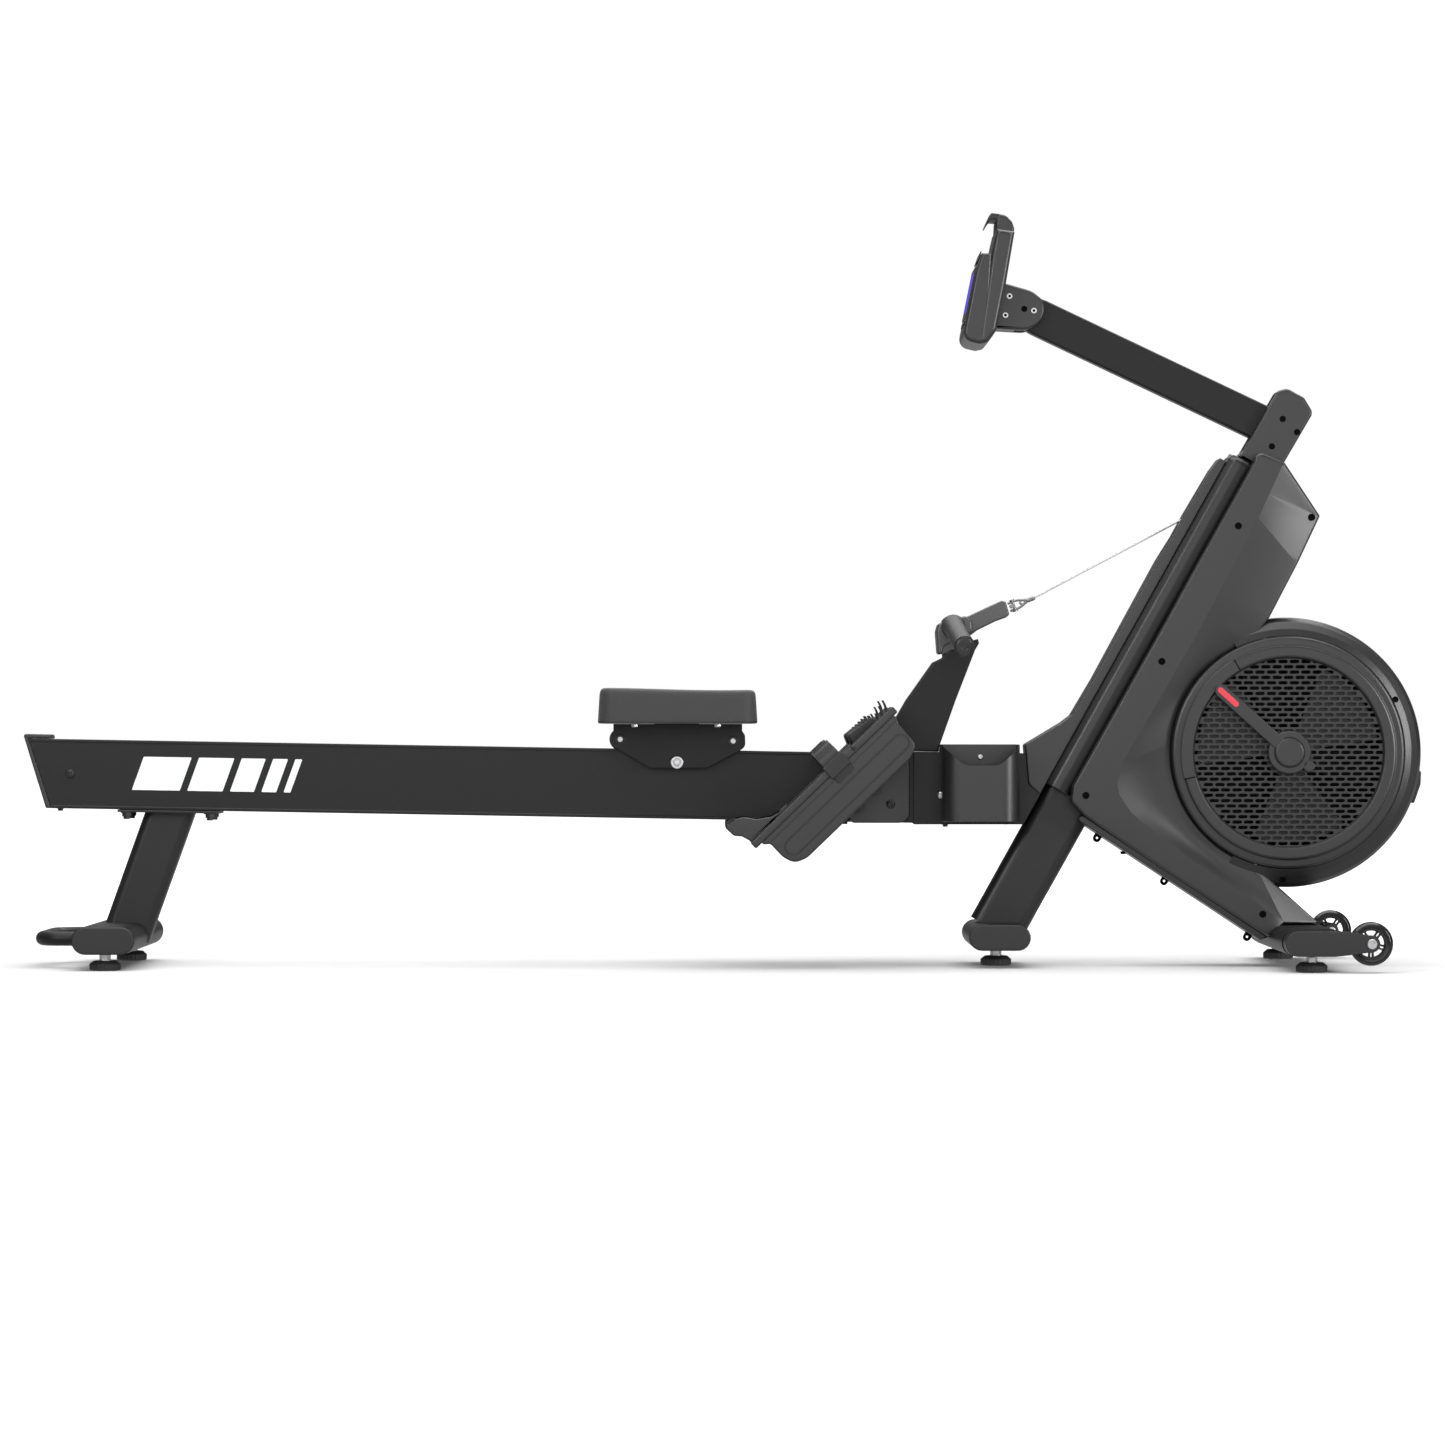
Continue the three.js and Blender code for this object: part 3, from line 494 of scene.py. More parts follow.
def rail_group():
    """The rail extrusion with its strips, plugs, side bars and bolts."""
    half = [(30, -121.5), (30, -117), (29.2, -116), (29.2, -5.5), (30, -4.5), (30, 0), (25, 0), (24, -3.4), (6, -3.4),
            (5, -1.6)]
    section = rounded(half + [(-y, h) for y, h in reversed(half)], 1.0, 3)
    bore = rounded(rectangle(-26, 26, -118, -9), 1)
    build("rail_extrusion", slab(section, 0, 1717.5, 0.5, [bore], on_rail, 2), RAIL, "frame", "rail")
    strips = [slab(rectangle(y, y + 14, -3.4, -3.1), 18, 1418, 0.05, (), on_rail, 1) for y in (-22, 8)]
    build("rail_running_strips", strips, STEEL)
    plug = rounded(rectangle(-23.8, 23.8, -3.2, 0.1), 0.8)
    build("rail_track_plug", slab(plug, 1423, 1560, 0.8, (), on_rail), BLACK)
    cap = [(-1227, 407), (-1179, 406), (-1179, rail_top(-1179) + 0.3), (-1218, rail_top(-1218) + 0.3),
           (-1177.6, rail_bottom(-1177)), (-1187, rail_bottom(-1187))]
    build("rail_end_plug", block(cap, [4, 4, 1, 1, 1, 3], 30, 2), PLASTIC, "frame", "rail_end_cap")
    # generic slanted bars in place of lettering
    bars, x = [], -1036
    for width in (84, 62, 42, 26, 12):
        run = [(x, 306.5), (x + width, 306.5), (x + width + 21, 365), (x + 21, 365)]
        run = rounded([(a, b - SLOPE * (a + 900)) for a, b in run], 1.2, 2)
        bars.append(slab(run, -29.5, -29.2, 0.1, steps=1))
        x += width + 13
    build("rail_side_bars", bars + [mirrored(b) for b in bars], WHITE)
    build("rail_side_bolts", pair(-1144, 29.2, 337, 8, "button"), BLACK)
    build("socket_bolts", pair(383, 33.6, 299.5, 6.5, "button"), ZINC)
    under = [screw((x, 0, z), (0, 0, -1), 5, "hex") for x, z in ((-1165, 276.4), (215.5, 252.8), (391.9, 248.2))]
    for x in (-1044, -898):
        for y in (-38, 38):
            for drop, r in ((4.3, 8.5), (11, 6)):
                under.append(screw((x, y, rail_bottom(x) - drop), (0, 0, -1), r, "hex"))
    build("rail_under_bolts", under, BLACK)


def rear_group():
    """The rear leg and the rear bar with its lift handle and caps."""
    plate = [(x, rail_bottom(x) - gap) for x, gap in ((-1059, 0.3), (-883, 0.3), (-883, 4.3), (-1059, 4.3))]
    to = leaning((-1043.3, 67), 70.3)
    section = rounded(rectangle(-42, 42, -23, 23), 17, 6)
    top = [to(u, v, (207.5 + 0.337 * u) / 0.9415) for u, v in section]
    build("rear_leg_tube", [slab(plate, -48, 48, 0.8), loft([[to(u, v, -14) for u, v in section], top])], POST, "frame",
          "rear_leg")
    bar = stadium(-1063, 52, 108, 48, 14)
    pipe = slab(bar, -217.6, 217.6, 0.4)
    path = [(-1100, -107.5, 51)] + [(x, y, 51) for x, y in arc((-1150.5, -72.5), 35, 270, 180, 10)]
    path += [(x, y, 51) for x, y in arc((-1150.5, 72.5), 35, 180, 90, 10)] + [(-1100, 107.5, 51)]
    build("rear_bar", [pipe, tube(path, 12.4, 20)], TUBE, "frame", "rear_stabilizer")
    caps = [slab(bar, -222, -217, 3.2, steps=4)]
    build("rear_bar_caps", caps + [mirrored(c) for c in caps], BLACK)


def leveler(name, x, y, under, body):
    pad = rounded([(0.4, 0), (25, 0), (27, 2.5), (27, 11), (20, 17), (0.4, 17)], [0, 1, 1, 1.5, 1.5, 0], 3)
    verts, faces = lathe(pad, (x, y), "z", 96)
    ribbed = []
    for i, (vx, vy, vz) in enumerate(verts):
        r = math.hypot(vx - x, vy - y)
        k = 0.965 if r > 25.5 and (i // len(pad)) % 4 < 2 else 1
        ribbed.append((x + (vx - x) * k, y + (vy - y) * k, vz))
    build(name + "_pad", [(ribbed, faces)], RUBBER, body, name)
    nut = loft([[(x + px, y + py, z) for px, py in hexagon(8.6)] for z in (17.6, under - 1.6)])
    washer = lathe(rounded([(5, 16.8), (11, 16.8), (11, 18.4), (5, 18.4)], 0.4, 2), (x, y), "z", 32)
    thread = []
    for k in range(34):
        z = 20 + k * 1.1
        thread += [(4.7, z), (5.2, z + 0.55)]
    stud = lathe([(0.2, 20)] + thread + [(0.2, 57.5)], (x, y), "z", 24)
    build(name + "_stud", [nut, washer, stud], ZINC, body)


def bars_group():
    """The mast, the middle and front bars, and the front caps with their wheel arms."""
    to = leaning(MAST_FOOT, MAST_ANGLE)
    section = rounded(rectangle(-MAST_HALF, MAST_HALF, -25, 25), 20, 7)
    rings = [[to(u, v, w) for u, v in section] for w in (-6, 926)]
    build("mast_tube", loft(rings), POST, "frame", "mast")
    trim = rounded([(-50, -30), (-48.5, -38), (-38, -47), (-26, -48.5), (-4, -46), (-4, 46), (-26, 48.5), (-38, 47),
                    (-48.5, 38), (-50, 30)], 14, 5)
    build("mast_trim", slab(trim, 262, 927, 12, (), to, 5, 3), DUSK)
    mid = stadium(481, 53.5, 107, 45, 14)
    build("mid_bar", slab(mid, -130, 130, 0.4), TUBE, "frame", "mid_crossbar")
    front = stadium(1010, 50, 108, 46, 14)
    build("front_bar", slab(front, -245, 245, 0.4), TUBE, "frame", "front_stabilizer")
    cap = slab(mid, -134, -129.5, 3, steps=4)
    build("mid_bar_caps", [cap, mirrored(cap)], BLACK)
    block = slab(stadium(1011, 49.5, 106, 43, 14), -291, -245.3, 3)
    arm = rounded(arc((979, 49.5), 21.5, 90, 270, 12) + [(1042, 28), (1069, 31)] + arc(WHEEL_AXLE, 14, -98, 82, 12)
                  + [(1064, 71)], 3, 2)
    plate = slab(arm, -295.2, -290.5, 1.2)
    inner = lathe(rounded([(0.3, -264.6), (0.3, -258), (7.5, -258), (7.5, -264.6)], 1.2, 2), WHEEL_AXLE, n=32)
    both("front_cap_{}_cover", [block, plate], BLACK, "frame", "front_cap_{}")
    bolt = screw((WHEEL_AXLE[0], -295.2, WHEEL_AXLE[1]), NEAR, 8.5, "flat")
    both("wheel_bolt_{}", [bolt, inner, peg(WHEEL_AXLE, 4.2, -291, -262, 20)], ZINC)


def wheels():
    """The transport wheels: a tyre on a spoked hub."""
    def ring(points, radii, n, turns):
        return lathe([(r, h - 277) for r, h in rounded(points, radii, n)], WHEEL_AXLE, n=turns)

    tyre = ring([(26.5, -11), (32.5, -12), (37.5, -5.5), (37.5, 5.5), (32.5, 12), (26.5, 11)], [1, 4, 7, 7, 4, 1], 6,
                80)
    both("wheel_tyre_{}", [tyre], TYRE, "wheel_{}", "transport_wheel_{}")
    holes = []
    for a in range(18, 378, 72):
        window = arc(WHEEL_AXLE, 22.5, a - 24, a + 24, 6) + arc(WHEEL_AXLE, 14.5, a + 17, a - 17, 4)
        holes += [rounded(window, 1.2, 2), stadium(*at(WHEEL_AXLE, 19, a + 36), 7.4, 2.6, 5, a + 36)]
    web = slab(circle(WHEEL_AXLE, 25.4, 64), -281.5, -272.5, 1.2, holes, steps=2)
    rim = ring([(24, -10.5), (27.2, -10.5), (27.2, 10.5), (24, 10.5)], 1, 2, 64)
    hub = ring([(4.4, -11.5), (12.4, -11.5), (13.4, -4), (13.4, 4), (12.4, 11.5), (4.4, 11.5)], 1, 2, 48)
    both("wheel_hub_{}", [web, rim, hub], BLACK, "wheel_{}")


# ---- Front frame: socket, face panel, covers -----------------------------------------------------------------
def mast_front(z):
    return MAST_FOOT[0] + (z - MAST_FOOT[1]) / math.tan(math.radians(MAST_ANGLE)) - MAST_HALF / sind(MAST_ANGLE)


SOCKET = [(335, rail_top(335) + 3.5), (335, 248.2), (mast_front(248.2) - 0.5, 248.2), (mast_front(372) - 0.5, 372)]
PANEL = [(872, 891), (882, 885), (mast_front(878) - 0.6, 878), (mast_front(301) - 0.6, 301), (536, 319), (530, 388),
         (595, 427), (612, 440), (650, 504), (696, 589), (763, 712), (790, 755), (808, 788), (857, 871)]


def socket_and_panel():
    build("socket_sleeve", block(SOCKET, [2, 2, 1, 1], 33.5, 0.6), RAIL, "frame", "rail_socket")
    slot = slab([(750, 726), (830, 868), (892, 833), (812, 691)], -7, 7, 0.1)
    panel = block(PANEL, [2, 2, 0, 0, 6, 5, 12, 4, 0, 0, 4, 4, 6, 4], 37, 3)
    build("front_panel", panel, PLASTIC, "frame", "face_panel", cut=[slot])


def rounded_rim(points, r, n=4):
    """rounded() for (x, z, depth) points on an open run; the depth turns linearly through each corner."""
    out = [points[0]]
    for a, p, b in zip(points, points[1:], points[2:]):
        for q in rounded([a[:2], p[:2], b[:2]], r, n, closed=False)[1:-1]:
            c = a if math.dist(q, a[:2]) < math.dist(q, b[:2]) else b
            share = math.dist(q, p[:2]) / math.dist(c[:2], p[:2])
            out.append((q[0], q[1], p[2] + (c[2] - p[2]) * share * 0.5))
    return out + [points[-1]]


def spread(points, fractions):
    """Points at the given fractions of a polyline's length."""
    steps = [math.dist(a, b) for a, b in zip(points, points[1:])]
    total, out = sum(steps), []
    for f in fractions:
        s = f * total
        for (a, b), step in zip(zip(points, points[1:]), steps):
            if s <= step + 1e-9 or b is points[-1]:
                out.append(tuple(Vector(a).lerp(Vector(b), min(1, s / step))))
                break
            s -= step
    return out


def dense(run, step):
    """The run with points added so that none are further apart than step."""
    out = []
    for a, b in zip(run, run[1:]):
        n = max(1, math.ceil(math.dist(a, b) / step))
        out += [tuple(Vector(a).lerp(Vector(b), k / n)) for k in range(n)]
    return out + [run[-1]]


def softened(run, reach):
    """Each point as the mean of its neighbours up to reach away; the two ends stay."""
    out, last = [], len(run) - 1
    for i in range(last + 1):
        w = min(reach, i, last - i)
        near = [Vector(p) for p in run[i - w:i + w + 1]]
        out.append(tuple(sum(near, Vector((0, 0, 0))) / len(near)))
    return out


def cover():
    """The near side cover: a flat angled band with facets that fall toward the fan."""
    band = [(980, 76, 75), (954, 51, 75), (763, 175, 75), (632, 263, 75), (608, 290, 75), (611.5, 316.5, 75),
            (765, 588, 75), (832, 710, 75), (927, 880, 75), (930.5, 894, 75), (942, 898, 75), (981, 881, 75)]
    top = [(981, 881, 75), (1047, 789, 42), (1006.7, 705.7, 53)]
    upper = [(1006.7, 705.7, 53), (956.5, 611, 60)] + [(x, z, 60) for x, z in arc(FAN, 203.5, 108, 176, 18)]
    scoop = [(x, z, 60) for x, z in arc(FAN, 203.5, 176, 250, 20)] + [(941.3, 167, 60)]
    tail = [(941.3, 167, 60), (976, 136.5, 58), (1044, 76, 52), (980, 76, 75)]
    runs = [rounded_rim(band, 12), dense(rounded_rim(top, 5), 7), upper, scoop, tail]
    loop = [p for run in runs for p in run[:-1]]
    area = sum(a[0] * b[1] - b[0] * a[1] for a, b in zip(loop, loop[1:] + loop[:1]))
    flat = [p[:2] for p in loop]
    edge = 5.0  # width of the rounded edge

    def move(d):
        return inset(flat, d if area > 0 else -d)

    rim = [(x, z, p[2]) for (x, z), p in zip(move(edge), loop)]
    starts = [0]
    for run in runs:
        starts.append(starts[-1] + len(run) - 1)

    def pick(k):
        return [rim[i % len(rim)] for i in range(starts[k], starts[k + 1] + 1)]

    joint, corner, top_end, upper_end, scoop_end = (rim[starts[k] % len(rim)] for k in range(5))
    high, low = (935, 783.7, 75), (698.4, 356.6, 75)  # ends of the long fold
    curl = [low, (688.3, 326.6, 75), (691.7, 300.5, 75), (717.9, 263.8, 75), (818.6, 187.1, 75), joint]
    facets = []
    for line, run, sag, count, soft in (([corner, high], pick(1), 0, 8, 11),
                                        ([high, (832, 588.3, 75), low], pick(2), 0, 4, 0),
                                        (rounded_rim(curl, 24), pick(3), 7, 10, 0)):
        lengths = [0]
        for a, b in zip(run, run[1:]):
            lengths.append(lengths[-1] + math.dist(a, b))
        fractions = [s / lengths[-1] for s in lengths]
        start, rows = spread(line, fractions), []
        for k in range(count + 1):
            t, row = k / count, []
            for a, b, f in zip(start, softened(run, round(soft * (1 - t))), fractions):
                drop = sag * math.sin(math.pi * t) * math.sin(math.pi * f) ** 0.7
                row.append(tuple(Vector(a).lerp(Vector(b), t) - Vector((0, 0, drop))))
            rows.append(row)
        facets.append(rows)
    inner = facets[0][0] + facets[1][0][1:] + facets[2][0][1:]
    polygon = pick(0) + inner[1:-1]

    def to(p):
        return (p[0], -p[2], p[1])

    solids = [patch([[to(p) for p in row] for row in rows]) for rows in facets]
    face = [Vector((p[0], p[1], 0)) for p in polygon]
    solids.append(([to(p) for p in polygon], [tuple(t) for t in tessellate_polygon([face])]))
    tail_rim = pick(4)
    solids.append(([to(p) for p in tail_rim], [tuple(range(len(tail_rim)))]))
    rows = [[to((x, z, p[2] - edge * (1 - cosd(a)))) for (x, z), p in zip(move(edge * (1 - sind(a))), loop)]
            for a in (0, 30, 60, 90)]
    rows.append([(x, -0.2, z) for x, z in flat])
    solids.append(loft(rows, (False, True)))
    creases = [inner, [high, top_end], [low, upper_end], [scoop_end, joint]]
    return solids, [[to(p) for p in line] for line in creases]


def mark_creases(obj, lines):
    """Edges that lie along the given lines are sharp, however small their angle."""
    def near(p, a, b):
        way = b - a
        if (p - a).cross(way).length / max(way.length, 1e-9) >= 6e-5:
            return False
        return -1e-5 < (p - a).dot(way.normalized()) < way.length + 1e-5

    runs = [(Vector(a) * 0.001, Vector(b) * 0.001) for line in lines for a, b in zip(line, line[1:])]
    touching = [{i for i, (a, b) in enumerate(runs) if near(v.co, a, b)} for v in obj.data.vertices]
    for e in obj.data.edges:
        if touching[e.vertices[0]] & touching[e.vertices[1]]:
            e.use_edge_sharp = True


def covers_group():
    """Side covers, fan shoulders, and the tabs, sill, screws and latch on them."""
    solids, creases = cover()
    shells = both("side_shell_{}", solids, PLASTIC, "frame", "side_cover_{}", sharp=50, weighted=False)
    for shell, side in zip(shells, (1, -1)):
        mark_creases(shell, [[(x, side * y, z) for x, y, z in line] for line in creases])
        modify(shell, "WEIGHTED_NORMAL", keep_sharp=True, weight=90)
    spots = ((1031.5, 786, 48), (900, 770, 75), (766.5, 533.5, 75), (634, 299.5, 75), (942.5, 92.5, 75))
    both("cover_screws_{}", [screw((x, -y - 0.1, z), NEAR, 6.2, "dish") for x, z, y in spots], HOLE)
    shoulder = rounded([(236.6, -0.3), (236.6, -26), (234.6, -44), (229, -53.5), (216, -61.5), (203.6, -66.5),
                        (203.6, -58), (215, -54), (225, -46), (232, -30), (233, -0.3)],
                       [0, 5, 7, 9, 10, 1, 1, 5, 5, 5, 0], 4)
    both("fan_shoulder_{}", [lathe(shoulder, FAN, n=120, start=-118, sweep=234)], DUSK, "frame", "fan_housing_{}")
    # moulded tabs under the covers, then the sill that closes their lower edge
    tabs = [screw((705, 0, 200), (0, 0, -1), 5, "hex")]
    for x, z in ((659, 224), (777, 148), (923, 50)):
        tabs.append(slab(stadium(x + 3, z + 5, 27, 14, 8, 60), -2.2, 2.2, 1, [circle((x, z), 2.1, 20)]))
    build("cover_tabs", tabs, HOLE)
    sill = [(632, 264), (954, 52), (940, 46.5), (625, 253.5), (621, 262)]
    build("cover_sill", block(sill, [1, 1, 4, 5, 5], 63, 2.5, 4, steps=4), PLASTIC)
    heads = []
    for a, r, y in ((26.3, 209.5, 65.6), (-92.3, 222.5, 58.8), (118, 224, 57.5)):
        for side in (-1, 1):
            x, z = at(FAN, r, a)
            out = Vector((cosd(a) * 0.5, side, sind(a) * 0.5)).normalized()
            heads.append(screw((x, side * y, z), tuple(out), 5.5, "dish"))
    build("shoulder_screws", heads, HOLE)
    latch = [at(FAN, 230, -7.5), at(FAN, 237, -7.5), (1226.4, 340), (1225.5, 318), at(FAN, 243, -21.5),
             at(FAN, 230, -22.5)]
    build("shoulder_latch", block(latch, [0, 1, 3, 4, 3, 0], 24, 2, 3), BLACK)


# ---- Fan: grille, bezel, scale, damper and wheel -------------------------------------------------------------
def fan_group():
    """Grilles, bezels, the damper with its scale, and the CAD nodes inside the covers."""
    holes = []
    for row in range(-18, 19):
        for col in range(-10, 11):
            x, z = col * 20 + (10 if row % 2 else 0), row * 9.35
            if math.hypot(abs(x) + 6, abs(z) + 2) < 171 and math.hypot(x, z) > 27:
                holes.append(stadium(FAN[0] + x, FAN[1] + z, 16.7, 5.7, 3))
    screen = slab(circle(FAN, 182, 96), -74, -71, 0.5, holes, steps=1)
    both("grille_mesh_{}", [screen], GRILLE, "frame", "grille_{}", weighted=False, sharp=30)
    bezel = rounded([(164, -62), (164, -74.3), (167.5, -79), (170, -79.5), (183, -79.5), (186, -78.6), (187.4, -75),
                     (189, -74.6), (198, -74), (201.5, -72.5), (203.4, -68), (203.4, -55), (199, -55), (199, -62)],
                    [0, 1.5, 2, 2, 2, 1.2, 0.8, 1, 3, 3, 3, 1, 1, 1], 4)
    both("grille_bezel_{}", [lathe(bezel, FAN, n=144)], PLASTIC)
    scale = [(167, -79.9), (167, -81), (168, -82), (188, -82), (189, -81), (189, -79.9)]
    build("damper_scale_plate", lathe(scale, FAN, n=48, start=121.4, sweep=72.3), PLASTIC, "frame", "damper_scale")
    gaps = []  # dark joints at both ends of the scale
    for a in (120.6, 194.5):
        mid, half, ends = at(FAN, 177.5, a), 10.5, []
        for r, w in ((-half, -0.9), (half, -0.9), (half, 0.9), (-half, 0.9)):
            ends.append(at(at(mid, r, a), w, a + 90))
        gaps.append(slab(ends, -79.8, -79.2, 0.1))
    build("damper_scale_gaps", gaps, HOLE)
    hub = rounded([(0.3, -80.2), (37, -80.2), (37, -86), (35.5, -87), (27, -87), (26, -86), (25, -86), (24.5, -90),
                   (22.5, -91), (0.3, -91)], [0, 0.5, 1, 1, 0.5, 0.3, 0.5, 1.2, 1, 0], 3)
    lug = slab(circle(at(FAN, 42, -35), 10, 32), -87, -80.2, 1.4)
    a = 137.9  # the lever's direction
    root, tip = at(FAN, 20, a), at(FAN, 159.5, a)
    lever = slab(arc(tip, 11.5, a - 90, a + 90, 12) + [at(root, 11.5, a + 90), at(root, 11.5, a - 90)], -89, -83, 1.6)
    knob = [lathe(hub, FAN, n=72), lug, lever, peg(FAN, 9.5, -61, -84, 24, 0.3)]
    build("damper_knob", knob, PLASTIC, "damper", "damper_lever")
    mark = stadium(*at(FAN, 144, a), 46, 10, 8, a)
    build("damper_mark", slab(mark, -89.6, -88.9, 0.3), RED, "damper")
    blades = [slab([at(FAN, 36, a)] + arc(FAN, 158, a, a + 60, 16) + [at(FAN, 36, a + 60)], -64.5, -62, 0.5)
              for a in (8, 128, 248)]
    build("damper_shutter", blades + [slab(circle(FAN, 42, 48), -64.6, -61.9, 0.5)], SHUTTER, "damper")
    for name, material in (("fan_wheel", VANE), ("cable_drum", ZINC), ("guide_pulley", BLACK), ("drive_belt", RUBBER),
                           ("cable_run", WIRE), ("lower_beam", TUBE)):
        tidy_node(name, material)


# ---- Post, arm, console --------------------------------------------------------------------------------------
def console_group():
    """The post, the arm, the neck, the console with its screen, and the phone clip."""
    end = at(MAST_FOOT, MAST_LENGTH + 0.3, MAST_ANGLE)
    base = [(974, 1009), (990, 1013), (1020, 996.5), (1034, 973), (1033, 965), (985, 883),
            at(end, 42, MAST_ANGLE - 90), at(end, 36, MAST_ANGLE + 90), (912, 902)]
    fork = [(900, 906), (960, 906), (985, 912), at((985, 912), 50, MAST_ANGLE), (1016, 1000), (1000, 1030),
            (850, 1030)]
    build("post_shell", block(base, [9, 12, 12, 10, 6, 3, 2, 2, 4], 36, 5, steps=4), PLASTIC, "frame", "post_cover",
          cut=[slab(fork, -18, 18, 0.1)])
    heads = [pair(x, 36.1, z, 5.5, "dish") for x, z in ((982, 959), (1007, 936), (963, 911))]
    build("post_screws", sum(heads, []), HOLE)
    a = ARM_ANGLE
    back = at(NECK_PIVOT, 30, a + 180)
    shape = arc(ARM_PIVOT, 32, a + 90, a + 270, 20) + [at(back, 32, a - 90)] + arc(NECK_PIVOT, 29, a - 90, a + 90, 20)
    build("arm_tube", slab(shape + [at(back, 32, a + 90)], -17, 17, 5, steps=4), TUBE, "arm", "console_arm")
    neck = [(490, 1199), (542.5, 1184), (562, 1168), (566, 1150), (558, 1128), (534, 1114.5), (474, 1118)]
    gap = slab([(524, 1080), (580, 1080), (580, 1220), (512, 1220), (512, 1165), (505, 1140)], -17.6, 17.6, 0.1)
    well = slab(circle(NECK_PIVOT, 30.5, 48), -17.6, 17.6, 0.1)
    neck = block(neck, [2, 40, 40, 40, 40, 40, 2], 36, 5, 8, steps=4)
    build("neck_shell", neck, PLASTIC, "console", cut=[gap, well])
    back_shell = [(478.5, 1288), (509.5, 1283), (494.4, 1193.3), (477.5, 1110), (460, 1087.5), (446.5, 1089),
                  (468.7, 1244.9)]
    front_body = [(471, 1245), (452.1, 1245.5), (441.2, 1213.6), (417.5, 1094), (452, 1086), (462, 1096)]
    pocket = slab([(478, 1226), (487, 1225), (502, 1312), (493, 1314)], -30.6, 30.6, 0.1)
    build("console_shell", block(back_shell, [0, 0, 60, 16, 14, 12, 0], 87.5, 9, 8, steps=6), PLASTIC, "console",
          "console_housing", cut=[pocket])
    build("console_body", block(front_body, [0, 0, 60, 24, 10, 8], 86, 7, 8, steps=6), PLASTIC, "console")
    lip = rounded([(444.5, 1232), (451.5, 1251.5), (453, 1251), (450, 1238)], 0.6, 2)
    build("console_lip", slab(lip, -58, 58, 0.5), BLACK, "console")
    tilt = math.degrees(math.atan2(74, 15))  # slope of the display

    def face(u, v, w):
        x, z = at(at((426.6, 1144.5), u, tilt), w, tilt + 90)
        return (x, v, z)

    frame_edge = rounded(rectangle(-8, 82, -71, 71), 5)
    opening = rounded(rectangle(2.5, 72.5, -62, 62), 3)
    build("screen_frame", slab(frame_edge, -1.5, 0.6, 0.3, [opening], face, 2), BLACK, "console")
    build("screen_window", slab(opening, -1, 0.3, 0.15, (), face, 3), SCREEN, "console", "console_screen")
    buttons = [slab(rounded(rectangle(-22, -14, y - 9, y + 9), 3.5, 4), -2, 0.8, 0.4, (), face)
               for y in (-40, -13, 13, 40)]
    build("console_buttons", buttons, RUBBER, "console")
    heads, wells = [], []
    for x, z in ((503, 1174.5), (496, 1141), (546, 1149)):
        for y, axis in ((-36, NEAR), (36, FAR)):
            ring = lathe(rounded([(2.4, 0), (5, 0), (5, 1.2), (2.4, 1.2)], 0.4, 2), (0, 0), "z", 24)
            heads.append(turned_onto(ring, (x, y, z), axis))
            wells.append(screw((x, y, z), axis, 2.5, "dish"))
    build("neck_screw_wells", wells, HOLE, "console")
    build("neck_screws", heads, ZINC, "console")
    caps = pair(NECK_PIVOT[0], 36.1, NECK_PIVOT[1], 5.4, "dish") + pair(487, 84.6, 1203, 2.4, "dish")
    build("neck_pivot_caps", caps, HOLE, "console")
    crown = [(478.6, 1288.9), (509.8, 1283.7), (511.5, 1292), (506.9, 1305), (495.9, 1316), (484, 1318),
             (479.5, 1306)]
    hook = [(486.5, 1317.6), (471, 1319.6), (466.6, 1314), (459.8, 1297.8), (461.8, 1297.2), (469.5, 1309.5),
            (480.5, 1308.5), (482, 1300), (486, 1300)]
    angle = math.degrees(math.atan2(88, 15))  # slope of the clip's guide

    def tongue(u, v, w):
        x, z = at(at((480, 1228), w, angle), u, angle - 90)
        return (x, v, z)

    build("clip_hook", block(hook, [2, 4, 3, 0.8, 0.8, 3, 1, 1, 1], 44), BLACK, "clip")
    slider = slab(rounded(rectangle(-4, 4, -30, 30), 1), 1, 73, 0.5, (), tongue)
    build("clip_head", [block(crown, [0, 0, 10, 16, 12, 0, 0], 45, 4.5, steps=5), slider], PLASTIC, "clip",
          "phone_clip")


